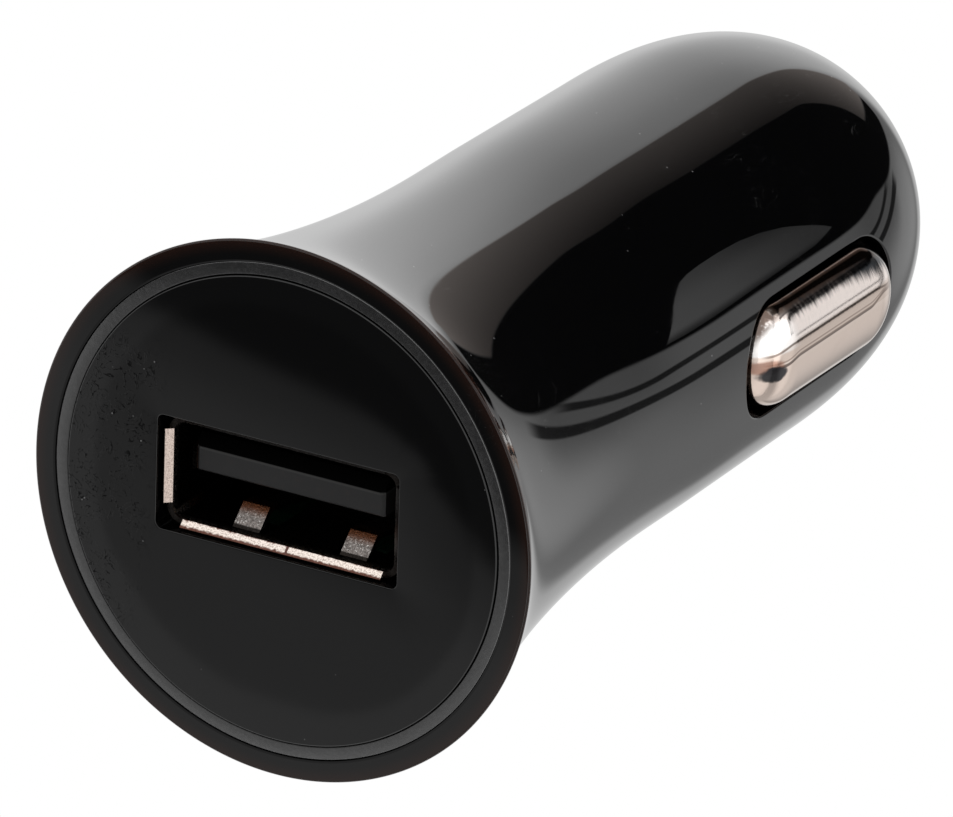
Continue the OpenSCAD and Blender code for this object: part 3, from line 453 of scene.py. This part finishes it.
class Calc:
    """Arithmetic that lays down Math nodes."""

    def __init__(self, tree, value):
        self.tree, self.value = tree, value

    def _made(self, operation, *inputs):
        node = self.tree.nodes.new("ShaderNodeMath")
        node.operation = operation
        for socket, item in zip(node.inputs, inputs):
            item = item.value if isinstance(item, Calc) else item
            if isinstance(item, (int, float)):
                socket.default_value = item
            else:
                self.tree.links.new(item, socket)
        return Calc(self.tree, node.outputs[0])

    def __add__(self, other):
        return self._made("ADD", self, other)

    def __sub__(self, other):
        return self._made("SUBTRACT", self, other)

    def __rsub__(self, other):
        return self._made("SUBTRACT", other, self)

    def __mul__(self, other):
        return self._made("MULTIPLY", self, other)

    def __truediv__(self, other):
        return self._made("DIVIDE", self, other)

    __radd__ = __add__
    __rmul__ = __mul__

    def top(self, other):
        return self._made("MAXIMUM", self, other)

    def low(self, other):
        return self._made("MINIMUM", self, other)

    def root(self):
        return self._made("SQRT", self)

    def size(self):
        return self._made("ABSOLUTE", self)

    def fraction(self):
        return self._made("FRACT", self)

    def square(self):
        return self * self

    def step(self, start, end):
        """0 at start, 1 at end, smooth between."""
        node = self.tree.nodes.new("ShaderNodeMapRange")
        node.interpolation_type = "SMOOTHSTEP"
        rising = float(start < end)
        limits = {"From Min": min(start, end), "From Max": max(start, end), "To Min": 1 - rising, "To Max": rising}
        for key, value in limits.items():
            node.inputs[key].default_value = value
        self.tree.links.new(self.value, node.inputs["Value"])
        return Calc(self.tree, node.outputs["Result"])

    def near(self, centre, fade, core):
        """1 within core of the centre, 0 beyond fade from it."""
        return (self - centre).size().step(fade, core)

    def feed(self, socket):
        self.tree.links.new(self.value, socket)


def axes_of(tree, output):
    """The three parts of a vector output."""
    split = tree.nodes.new("ShaderNodeSeparateXYZ")
    tree.links.new(output, split.inputs[0])
    return [Calc(tree, split.outputs[i]) for i in range(3)]


def object_axes(tree):
    """Place in the object's space, in millimetres."""
    place = tree.nodes.new("ShaderNodeTexCoord").outputs["Object"]
    return [part * PER_METRE for part in axes_of(tree, place)]


def upper_studio(gx, gy):
    """What gloss sees above: the brightness and the warm flat, at points (gx, gy) of a plane at height 1."""
    # A large soft box towards -x and a pale table towards +x, with two dark folds in it
    box = 1.26 + 0.28 * gx.step(-0.65, -0.3) * gy.near(-0.3, 0.34, 0.04)
    box = box * (1 - 0.42 * gy.step(0.0, 0.42))
    spot = ((gx - 0.14).square() + (gy - 0.29).square()).step(0.085, 0.0)
    table = 0.38 + 0.41 * gx.step(-0.1, 0.55) + 0.33 * spot + 0.2 * gx.step(0.74, 0.95)
    table = table * (1 - 0.38 * gx.step(0.2, 0.32) * gx.step(0.72, 0.54) * gy.step(0.4, 0.12))
    fold = gy.near(0.067 + 0.215 * gx.step(0.16, 0.68), 0.034, 0.02) * gx.step(0.18, 0.26)
    second = gy.near(0.02 + 0.13 * gx.step(0.3, 0.6), 0.024, 0.012) * gx.step(0.3, 0.38)
    folds = fold.top(second) * gx.step(0.75, 0.735)
    bright = gx.step(-0.1, -0.22) * box + gx.step(-0.22, -0.1) * table * (1 - 0.88 * folds)
    # A black stretch before both, bounded by a line on the left and one below
    left = gx + 0.162 + 0.028 * gy.step(-0.15, -0.45) - 0.014 * gy.step(-0.6, -0.69)
    low = gy - 0.022 + 0.036 * gx.step(0.25, 0.5) - 0.026 * gx.step(0.45, 0.65) + 0.09 * gx.step(-0.05, -0.15)
    dark = left.step(-0.008, 0.008) * low.step(0.012, -0.012)
    # A grey flat and a window in the black stretch
    flat = (gx - 0.1 - 0.055 * gy.step(-0.52, -0.68)).step(0.007, -0.007) * (gy + 0.5 * gx).step(-0.09, -0.11)
    glow = flat * (0.28 - 1.1 * gx).top(0.1) * (0.68 + 0.36 * gy.step(-0.65, -0.28))
    slope = gy / gx.top(0.02)
    reach = (gx.square() + gy.square()).root()
    window = reach.step(0.75, 0.8) * slope.step(-0.62, -0.5) * gx.step(0.1, 0.2)
    window = window * slope.step(-0.07, -0.13).top(reach.step(1.0, 1.3)) * (0.66 + reach.step(0.8, 1.25))
    return bright * (1 - dark) + dark * glow.top(window) + 0.009, flat * dark


def studio_world():
    """White for the camera, plain light for the rest, and for gloss a plain studio."""
    world = bpy.data.worlds.new("studio")
    bpy.context.scene.world = world
    world.use_nodes = True
    tree = world.node_tree
    tree.nodes.clear()
    x, y, z = axes_of(tree, tree.nodes.new("ShaderNodeTexCoord").outputs["Generated"])
    up = z.top(0.12)
    upper, warm = upper_studio(x / up, y / up)
    side = (0.36 + 0.2 * y).top(1.7 * (0.97 * x - 0.2 * y).step(0.78, 0.88))
    below, above = z.step(-0.05, -0.2), z.step(0.2, 0.45)
    gloss = (upper * above + side * (1 - above)) * (1 - below) + 1.25 * below
    even = 0.62 + 0.18 * z
    path = tree.nodes.new("ShaderNodeLightPath")
    seen, glossy, through = (Calc(tree, path.outputs[key])
                             for key in ("Is Camera Ray", "Is Glossy Ray", "Is Transmission Ray"))
    shiny = glossy.top(through)
    warm = warm * above * (1 - seen)
    tone = tree.nodes.new("ShaderNodeCombineColor")
    for socket, part in zip(tone.inputs, (1 + 0.08 * warm, 1 - 0.04 * warm, 1 - 0.1 * warm)):
        part.feed(socket)
    shader = tree.nodes.new("ShaderNodeBackground")
    tree.links.new(tone.outputs[0], shader.inputs["Color"])
    (seen + (1 - seen) * (shiny * gloss + (1 - shiny) * even)).feed(shader.inputs["Strength"])
    tree.links.new(shader.outputs[0], tree.nodes.new("ShaderNodeOutputWorld").inputs[0])


class Surface:
    """A Principled material with a few helpers for procedural detail in object space."""

    def __init__(self, name, color, roughness, metallic=0.0, **sockets):
        self.mat = bpy.data.materials.new(name)
        self.mat.use_nodes = True
        self.tree = self.mat.node_tree
        self.shader = self.tree.nodes["Principled BSDF"]
        self.shader.inputs["Base Color"].default_value = (*color, 1)
        self.shader.inputs["Roughness"].default_value = roughness
        self.shader.inputs["Metallic"].default_value = metallic
        for key, value in sockets.items():
            self.shader.inputs[key].default_value = value
        self.color, self.bump_last = color, None
        self.where = self.tree.nodes.new("ShaderNodeTexCoord").outputs["Object"]

    def axes(self):
        return object_axes(self.tree)

    def _texture(self, kind, scale, stretch):
        """A texture node of that many cells per millimetre, stretched along the axes."""
        mapping = self.tree.nodes.new("ShaderNodeMapping")
        mapping.inputs["Scale"].default_value = [PER_METRE * scale * s for s in stretch]
        self.tree.links.new(self.where, mapping.inputs["Vector"])
        node = self.tree.nodes.new(kind)
        node.inputs["Scale"].default_value = 1
        self.tree.links.new(mapping.outputs[0], node.inputs["Vector"])
        return node

    def noise(self, scale, detail=3.0, stretch=(1, 1, 1), distort=0.0):
        node = self._texture("ShaderNodeTexNoise", scale, stretch)
        node.inputs["Detail"].default_value = detail
        node.inputs["Distortion"].default_value = distort
        return Calc(self.tree, node.outputs["Fac"])

    def specks(self, scale, size, stretch=(1, 1, 1)):
        """1 inside small dots scattered at random."""
        node = self._texture("ShaderNodeTexVoronoi", scale, stretch)
        return Calc(self.tree, node.outputs["Distance"]).step(size, size * 0.6)

    def lean(self, amount, axis):
        """Tips the surface's normal along one of the object's axes."""
        turn = self.tree.nodes.new("ShaderNodeCombineXYZ")
        amount.feed(turn.inputs[axis])
        world = self.tree.nodes.new("ShaderNodeVectorTransform")
        world.vector_type, world.convert_from, world.convert_to = "VECTOR", "OBJECT", "WORLD"
        self.tree.links.new(turn.outputs[0], world.inputs[0])
        normal = self.tree.nodes.new("ShaderNodeNewGeometry").outputs["Normal"]
        total = self.tree.nodes.new("ShaderNodeVectorMath")
        self.tree.links.new(normal, total.inputs[0])
        self.tree.links.new(world.outputs[0], total.inputs[1])
        unit = self.tree.nodes.new("ShaderNodeVectorMath")
        unit.operation = "NORMALIZE"
        self.tree.links.new(total.outputs[0], unit.inputs[0])
        self._use_normal(unit.outputs[0])

    def _use_normal(self, output):
        self.bump_last = output
        self.tree.links.new(output, self.shader.inputs["Normal"])

    def rough(self, value):
        value.feed(self.shader.inputs["Roughness"])

    def dull(self, amount):
        """Takes the reflection away by amount."""
        (0.5 * (1 - amount)).feed(self.shader.inputs["Specular IOR Level"])

    def facing_z(self):
        """The z part of the surface's direction in object space."""
        return axes_of(self.tree, self.tree.nodes.new("ShaderNodeTexCoord").outputs["Normal"])[2]

    def tint(self, amount, color):
        """Mixes the base colour towards another by amount."""
        node = self.tree.nodes.new("ShaderNodeMix")
        node.data_type = "RGBA"
        last = self.shader.inputs["Base Color"]
        if last.links:
            self.tree.links.new(last.links[0].from_socket, node.inputs["A"])
        else:
            node.inputs["A"].default_value = (*self.color, 1)
        node.inputs["B"].default_value = (*color, 1)
        amount.feed(node.inputs["Factor"])
        self.tree.links.new(node.outputs["Result"], last)

    def bump(self, height, distance):
        """Height from 0 to 1 over a distance in millimetres."""
        node = self.tree.nodes.new("ShaderNodeBump")
        node.inputs["Strength"].default_value = 1.0
        node.inputs["Distance"].default_value = distance * MM
        height.feed(node.inputs["Height"])
        if self.bump_last:
            self.tree.links.new(self.bump_last, node.inputs["Normal"])
        self._use_normal(node.outputs[0])


def gloss_black():
    """The shell: faint waves, dust, hairline scratches and a brown breath at the rim's outer edge."""
    s = Surface("gloss_black_plastic", (0.001, 0.001, 0.0012), 0.05, IOR=1.5)
    s.bump(s.noise(0.09, 1.0), 0.008)
    dust = s.specks(0.9, 0.05) * s.noise(0.11, 1.0).step(0.5, 0.62)
    s.tint(dust * 0.8, (0.22, 0.22, 0.22))
    scratch = s.specks(0.35, 0.018, (1, 1, 0.05)) * s.noise(0.07, 1.0).step(0.5, 0.65)
    s.rough(0.02 + 0.3 * scratch + 0.03 * s.noise(0.6, 4.0).step(0.4, 0.8))
    x, y, z = s.axes()
    s.tint((x.square() + y.square()).root().step(13.1, 14.0) * z.step(0.8, 0.1), (0.020, 0.007, 0.004))
    hair = s.noise(0.8, 2.0, (1, 1, 0.3), 2.0).near(0.5, 0.006, 0.0) * s.noise(0.5, 2.0).step(0.5, 0.6)
    s.tint(hair * s.noise(0.16, 1.0).step(0.48, 0.58) * 0.8, (0.03, 0.03, 0.03))
    return s.mat


def satin_black():
    """The disc: fine grain, wavy scuffs towards -x, and a few pale specks."""
    s = Surface("satin_black_plastic", (0.0016, 0.0016, 0.0018), 0.18, IOR=1.5)
    x, y, _ = s.axes()
    s.bump(s.noise(14, 2.0), 0.0012)
    worn = (x + 0.10 * y).step(-6.4, -8.6) * y.near(0.5, 9.2, 5.5)
    wrinkle = s.noise(1.0, 2.0, distort=2.5)
    lines = wrinkle.near(0.5, 0.027, 0.007) * worn * s.noise(0.42, 2.0).step(0.42, 0.53)
    s.bump(lines, 0.004)
    s.dull(lines * 0.8)
    s.rough(0.07 + 0.05 * s.noise(1.2, 4.0))
    s.tint(s.specks(0.8, 0.035) * s.noise(0.13, 1.0).step(0.5, 0.6), (0.12, 0.12, 0.12))
    s.tint(s.specks(1.3, 0.07) * worn.step(0.2, 0.6), (0.22, 0.22, 0.22))
    return s.mat


def smoke_ring():
    s = Surface("smoke_ring_plastic", (0.013, 0.013, 0.0135), 0.2, IOR=2.1)
    grain = s.noise(5.5, 4.0)
    s.tint(grain.step(0.4, 0.75), (0.03, 0.03, 0.031))
    s.bump(grain, 0.006)
    s.bump(s.noise(0.5, 2.0, (1, 1, 0.2)), 0.02)
    s.rough(0.16 + 0.15 * s.noise(0.35, 2.0))
    return s.mat


def port_steel():
    """The port's shell: grainy bright lips with brown edges, and painted shade: a dimmer left lip, dark
    front-facing edges and walls, and a dark inside.
    """
    s = Surface("port_steel", (0.86, 0.76, 0.69), 0.26, 1.0)
    x, y, z = s.axes()
    grain = s.noise(13, 3.0)
    s.bump(grain, 0.012)
    s.rough(0.2 + 0.3 * grain.step(0.35, 0.7))
    s.tint(grain.step(0.5, 0.62) * 0.5, (0.5, 0.4, 0.34))
    # Painted shade: the left lip is dimmed towards a darker warm grey.
    s.tint(x.step(-6.3, -6.45) * 0.8, (0.50, 0.40, 0.35))
    ragged = z + 0.16 * (s.noise(5, 3.0) - 0.5)
    lip_edges = ragged.step(0.52, 0.45) + ragged.step(0.66, 0.72) * z.step(0.85, 0.8)
    s.tint(lip_edges * x.step(-6.45, -6.3), (0.13, 0.06, 0.045))
    seam = x.near(0.05, 0.09, 0.05) * z.step(0.75, 0.7)
    s.tint(seam, (0.12, 0.06, 0.05))
    # Painted shade: faces turned to the front, the -y wall and the +x wall go almost black.
    corners = s.facing_z().step(-0.93, -0.98).top(y.step(-2.9, -3.05)).top(x.step(5.95, 6.05))
    s.tint(corners * 0.97, (0.02, 0.018, 0.017))
    # Painted shade inside the port, broken by darker blotches and pale patches, and darker and browner still
    # deeper in.
    inside = z.step(0.7, 0.9)
    s.tint(inside * 0.94, (0.19, 0.17, 0.16))
    s.tint(inside * s.noise(6, 3.0).step(0.45, 0.7) * 0.6, (0.06, 0.055, 0.05))
    s.tint(inside * s.noise(11, 2.0).step(0.6, 0.68) * 0.7, (0.75, 0.73, 0.7))
    s.tint(z.step(1.85, 2.3) * 0.92, (0.13, 0.04, 0.012))
    # Painted shade: the port's inner walls, and everything from z 3.6 on, go nearly black past z 1.3.
    wall = y.step(1.93, 1.99).top(x.step(-6.4, -6.46)).top(x.step(5.9, 5.98)).top(z.step(2.6, 3.6))
    s.tint(wall * z.step(0.7, 1.3), (0.02, 0.017, 0.015))
    return s.mat


def nickel():
    """The side contacts: brushed across, with the lines, spots and dark streaked edge of the photograph: the
    lines, the dark spot, the streaked edge and the brown flanks are painted reflections, the pale stretches
    painted highlights, and the parts inside the slot carry painted shade.
    """
    s = Surface("brushed_nickel", (0.74, 0.63, 0.56), 0.12, 1.0)
    x, y, z = s.axes()
    x = x.size()
    fine = s.noise(20, 2.0, (0.08, 0.08, 1))
    coarse = s.noise(5, 2.0, (0.1, 0.1, 1))
    shoulder = (0.46 * (-1.44 - y).top(0)).low(0.38) * y.step(-2.75, -2.65)
    s.lean(shoulder + 0.03 * (fine - 0.5), 1)
    s.bump(fine, 0.0016)
    s.rough(0.08 + 0.06 * fine.step(0.3, 0.75))
    front = z.step(31.2, 29.6)
    # Warm and pale stretches: warmer towards +y, while the pale stretch across the upper face and the whiter patch
    # at the front end are painted highlights
    s.tint(y.step(-0.4, 0.2) * 0.35, (0.62, 0.49, 0.42))
    s.tint(y.step(-0.95, -1.15) * y.step(-2.6, -2.3) * 0.9, (1.0, 0.9, 0.85))
    s.tint(front * y.step(-0.6, -0.75) * y.step(-2.3, -1.9), (1.0, 0.98, 0.96))
    # Three lines along the dome, bent at its ends: painted reflections of dark folds, with a faint brown band
    # among them
    along = z.step(28.2, 28.8) * z.step(40.6, 39.6)
    near_end, far_end = z.step(31, 29.6), z.step(38, 39.6)
    wander = 0.05 * (s.noise(0.35, 2.0) - 0.5)
    bend = 0.26 * z.step(30.4, 28.6) + 0.12 * z.step(38.6, 40)
    first = (y + 0.93 - bend + wander).size().step(0.09, 0.03)
    second = (y + 0.2 - 0.2 * near_end + 0.4 * far_end + wander).size().step(0.12, 0.05)
    third = (y + 0.42 - 0.2 * near_end + 0.3 * far_end + wander).size().step(0.07, 0.02)
    s.tint(first.top(second) * along * 0.85, (0.07, 0.045, 0.035))
    s.tint(third * along * 0.6, (0.12, 0.08, 0.06))
    s.tint((y + 0.56 + wander).size().step(0.4, 0.3) * along * 0.35, (0.42, 0.31, 0.25))
    # The dark streaked edge, a painted reflection of dark surroundings; painted shade inside the slot; and the
    # flanks' brown, a painted reflection of the slot's walls
    edge = y + 0.35 * (fine - 0.5) + 0.6 * (coarse - 0.5) - 0.45 * z.step(35, 40)
    s.tint(edge.step(-1.85, -2.45) * (1 - 0.9 * front), (0.028, 0.032, 0.037))
    # Painted shade on the flange, leaf, eye and wiper inside the slot.
    s.tint(x.step(9.3, 9.1) * 0.85, (0.10, 0.08, 0.07))
    # Painted reflection of the slot's walls: brown on the flanks, stronger towards -y.
    flank = (x + 0.3 * s.noise(1.4, 3.0) + 0.5 * front * y.step(-2.2, -1.0)).step(11.15, 10.6) * x.step(9.2, 9.4)
    s.tint(flank * (0.3 + 0.6 * y.step(0.0, -1.6)) * s.noise(3, 3.0).step(0.2, 0.5), (0.12, 0.075, 0.055))
    # A brown spot, and a dark one at the front end that is a painted reflection of the black shell
    rough_rim = s.noise(2, 2.0) - 0.5
    brown = ((y + 0.1).square() * 6 + (z - 28.6).square() + 0.5 * rough_rim).step(1.1, 0.4)
    dark = ((y - 0.32).square() * 4 + (z - 28.95).square() * 1.5 + 0.8 * rough_rim).step(1.05, 0.5)
    s.tint(brown * 0.75, (0.32, 0.15, 0.10))
    s.tint(dark * 0.97, (0.03, 0.032, 0.036))
    s.tint(s.noise(0.8, 3.0).step(0.55, 0.85) * 0.2, (0.55, 0.44, 0.37))
    return s.mat


def plain(name, color, roughness, metallic=0.0, grain=8.0, depth=0.004, second=None):
    """A plain material with a fine grain and soft patches of a second colour."""
    s = Surface(name, color, roughness, metallic)
    n = s.noise(grain, 3.0)
    s.bump(n, depth)
    s.rough(roughness * 0.85 + 0.3 * roughness * n)
    s.tint(s.noise(0.7, 3.0).step(0.35, 0.75) * 0.5, second or tuple(c * 0.75 for c in color))
    return s.mat


def tongue_plastic():
    """The port's insulator: its front slope darkened as painted shade, with a painted highlight along the edge
    above it.
    """
    s = Surface("tongue_plastic", (0.014, 0.014, 0.0145), 0.45)
    _, y, _ = s.axes()
    s.tint(s.noise(2.5, 3.0).step(0.5, 0.75), (0.02, 0.017, 0.016))
    # Painted shade: the front slope goes nearly black and loses most of its reflection.
    shaded_slant = y.step(-1.74, -1.8)
    s.tint(shaded_slant, (0.0008, 0.0008, 0.0008))
    s.dull(shaded_slant * 0.96)
    # Painted highlight: a lighter line along the edge above the front slope.
    s.tint(y.near(-1.7, 0.07, 0.03), (0.035, 0.035, 0.034))
    s.bump(s.noise(9, 3.0), 0.004)
    return s.mat


def board_green():
    """The board's mask, with tracks under it and bare long edges."""
    s = Surface("board_mask", (0.003, 0.022, 0.010), 0.32)
    x, _, z = s.axes()
    tracks = (s.noise(0.35, 0.0, (1, 0, 0.2)) * 14).fraction().near(0.5, 0.34, 0.28)
    s.tint(tracks * 0.8, (0.008, 0.05, 0.022))
    s.bump(tracks, 0.03)
    s.tint(x.size().step(4.95, 5.05) * z.step(20, 20.2) * 0.6, (0.45, 0.4, 0.2))
    return s.mat


def capacitor_can():
    """The cans' sleeve, with a bare top and a pale stripe."""
    s = Surface("capacitor_can", (0.03, 0.045, 0.10), 0.25)
    x, y, _ = s.axes()
    s.tint(y.step(-4.35, -4.45), (0.62, 0.63, 0.64))
    s.tint(x.size().step(0.6, 0.5) * y.step(-4.2, -4.1), (0.55, 0.56, 0.58))
    s.bump(s.noise(6, 2.0), 0.003)
    return s.mat


def apply_materials(finer):
    """Dresses the nodes of the CAD, and the finer pieces that stand for some of them."""
    looks = {
        "shell_gloss": gloss_black(),
        "face_satin": satin_black(),
        "ring_smoke": smoke_ring(),
        "port_metal": port_steel(),
        "insulator_black": tongue_plastic(),
        "contact_gold": plain("gold_contact", (0.80, 0.58, 0.25), 0.22, 1.0),
        "board_green": board_green(),
        "carrier_ivory": plain("ivory_plastic", (0.62, 0.59, 0.50), 0.45),
        "led_clear": plain("led_lens", (0.75, 0.78, 0.76), 0.15),
        "capacitor_can": capacitor_can(),
        "ferrite": plain("ferrite", (0.03, 0.03, 0.032), 0.6, second=(0.05, 0.05, 0.052)),
        "copper_wire": plain("enamelled_copper", (0.62, 0.24, 0.09), 0.2, 1.0),
        "chip_black": plain("chip_resin", (0.018, 0.018, 0.019), 0.5),
        "fuse_ceramic": plain("fuse_ceramic", (0.07, 0.22, 0.20), 0.4),
        "chip_ceramic": plain("chip_ceramic", (0.35, 0.24, 0.14), 0.45),
        "solder": plain("solder", (0.68, 0.69, 0.70), 0.2, 1.0, 3.0, 0.01),
        "contact_nickel": nickel(),
        "spring_steel": plain("spring_steel", (0.55, 0.55, 0.56), 0.24, 1.0),
        "brass_plate": plain("brass_plate", (0.72, 0.50, 0.20), 0.28, 1.0),
    }
    slots = {p["node"]: p["material_slot"] for p in frame["record"]["subparts"]}
    for name, node in frame["nodes"].items():
        node.data.materials.clear()
        node.data.materials.append(looks[slots[name]])
    for obj, slot in finer.items():
        obj.data.materials.append(looks[slot])


def empty_material(name):
    """A material without nodes but its output."""
    mat = bpy.data.materials.new(name)
    mat.use_nodes = True
    mat.node_tree.nodes.clear()
    return mat, mat.node_tree, mat.node_tree.nodes.new("ShaderNodeOutputMaterial").inputs["Surface"]


def mixed(tree, factor, first, second):
    """A mix of two shaders' outputs."""
    mix = tree.nodes.new("ShaderNodeMixShader")
    for socket, output in zip(mix.inputs, (factor, first, second)):
        tree.links.new(output, socket)
    return mix.outputs[0]


def floor_material():
    """Pale from above and clear from below."""
    mat, tree, surface = empty_material("pale_floor")
    pale = tree.nodes.new("ShaderNodeBsdfDiffuse")
    pale.inputs["Color"].default_value = (0.86, 0.86, 0.86, 1)
    clear = tree.nodes.new("ShaderNodeBsdfTransparent")
    back = tree.nodes.new("ShaderNodeNewGeometry").outputs["Backfacing"]
    tree.links.new(mixed(tree, back, pale.outputs[0], clear.outputs[0]), surface)
    return mat


def card_material(name, glow_at):
    """A glowing card. glow_at is its strength, or a function of x, y and z for strength and share of clear."""
    mat, tree, surface = empty_material(name)
    glow = tree.nodes.new("ShaderNodeEmission")
    glow.inputs["Color"].default_value = (1, 1, 1, 1)
    shown = glow.outputs[0]
    if callable(glow_at):
        strength, clear_share = glow_at(*object_axes(tree))
        strength.feed(glow.inputs["Strength"])
        if clear_share:
            clear = tree.nodes.new("ShaderNodeBsdfTransparent")
            shown = mixed(tree, clear_share.value, shown, clear.outputs[0])
    else:
        glow.inputs["Strength"].default_value = glow_at
    tree.links.new(shown, surface)
    return mat


def lens_glow(_, y, z):
    """Grey, fading towards the nose, and clear to the flare, which is further away than the barrel."""
    reach = Calc(z.tree, z.tree.nodes.new("ShaderNodeLightPath").outputs["Ray Length"]) * PER_METRE
    strength = (0.63 - 0.36 * z.step(34, 48) - 0.12 * y.step(-7, -10.5)) * (0.25 + 0.75 * y.step(-4.0, -5.2))
    return strength, reach.step(24, 28)


def face_glow(x, y, _):
    """Grey, fading to black over one corner, and lighter where the rim sees it."""
    x, y = x - FACE_CARD_AT[0], y - FACE_CARD_AT[1]
    across = y - 0.41 * x + 6.6
    strength = 0.055 + 0.2 * across.step(-1.2, 1.4) + 0.135 * across.step(1, 9)
    return strength * (1 + 0.36 * (x.square() + y.square()).root().step(12.5, 13.1)), None


def card(name, corners, glow_at):
    """A card that shows in reflections alone."""
    mesh = bpy.data.meshes.new(name)
    mesh.from_pydata([Vector(c) * MM for c in corners], [], [tuple(range(len(corners)))])
    mesh.materials.append(card_material(name, glow_at))
    obj = link_object(name, mesh)
    obj.visible_camera = obj.visible_shadow = obj.visible_diffuse = False


finer = {}
shell = shell_mesh()
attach(shell, "housing")
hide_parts("barrel_shell")
finer[shell] = "shell_gloss"
ring = ring_mesh()
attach(ring, "housing")
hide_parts("light_ring")
finer[ring] = "ring_smoke"
disc = disc_mesh()
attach(disc, "housing")
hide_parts("face_disc")
finer[disc] = "face_satin"
for label, sign in (("right", 1), ("left", -1)):
    contact = contact_mesh("contact_" + label, sign)
    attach(contact, label + "_contact")
    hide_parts("side_contact_" + label)
    finer[contact] = "contact_nickel"
for name, width in ROUNDED.items():
    rounding = frame["nodes"][name].modifiers.new("rounding", "BEVEL")
    rounding.width = width * MM
    rounding.segments = 2
    rounding.limit_method = "ANGLE"
    rounding.angle_limit = math.radians(40)
apply_materials(finer)

floor = make_object("floor", *lathe([(FLOOR_HOLE_R, FLOOR_Z), (FLOOR_R, FLOOR_Z)], turns=128, closed=False))
if floor.data.polygons[0].normal.z < 0:
    floor.data.flip_normals()
floor.data.materials.append(floor_material())
card("lens_card", [(LENS_CARD_X, y, z) for y, z in LENS_CARD], lens_glow)
card("face_card", [(x + FACE_CARD_AT[0], y + FACE_CARD_AT[1], FACE_CARD_Z) for x, y in FACE_CARD], face_glow)
card("white_card", [(x, y, WHITE_CARD_Z) for x, y in WHITE_CARD], WHITE_CARD_GLOW)
studio_world()

lamp_data = bpy.data.lights.new("soft_top", "AREA")
lamp_data.shape = "DISK"
lamp_data.size = LAMP_SIZE_M
lamp_data.energy = LAMP_WATTS
lamp = link_object("soft_top", lamp_data)
lamp.location = LAMP_AT_M
lamp.rotation_mode = "QUATERNION"
lamp.rotation_quaternion = (-LAMP_AT_M).to_track_quat("-Z", "Y")
lamp.visible_glossy = False

camera_data = bpy.data.cameras.new("camera")
camera_data.sensor_width = SENSOR_W
camera_data.lens = FOCAL_PIXELS * SENSOR_W / PHOTO_W_PIXELS
camera_data.clip_start, camera_data.clip_end = 0.01, 50
camera = link_object("camera", camera_data)
columns = (CAMERA_RIGHT, -CAMERA_DOWN, -CAMERA_AHEAD, CAMERA_AT_M)
camera.matrix_world = Matrix([[column[i] for column in columns] for i in range(3)] + [[0, 0, 0, 1]])
scene = bpy.context.scene
scene.camera = camera
scene.view_settings.view_transform = "Standard"
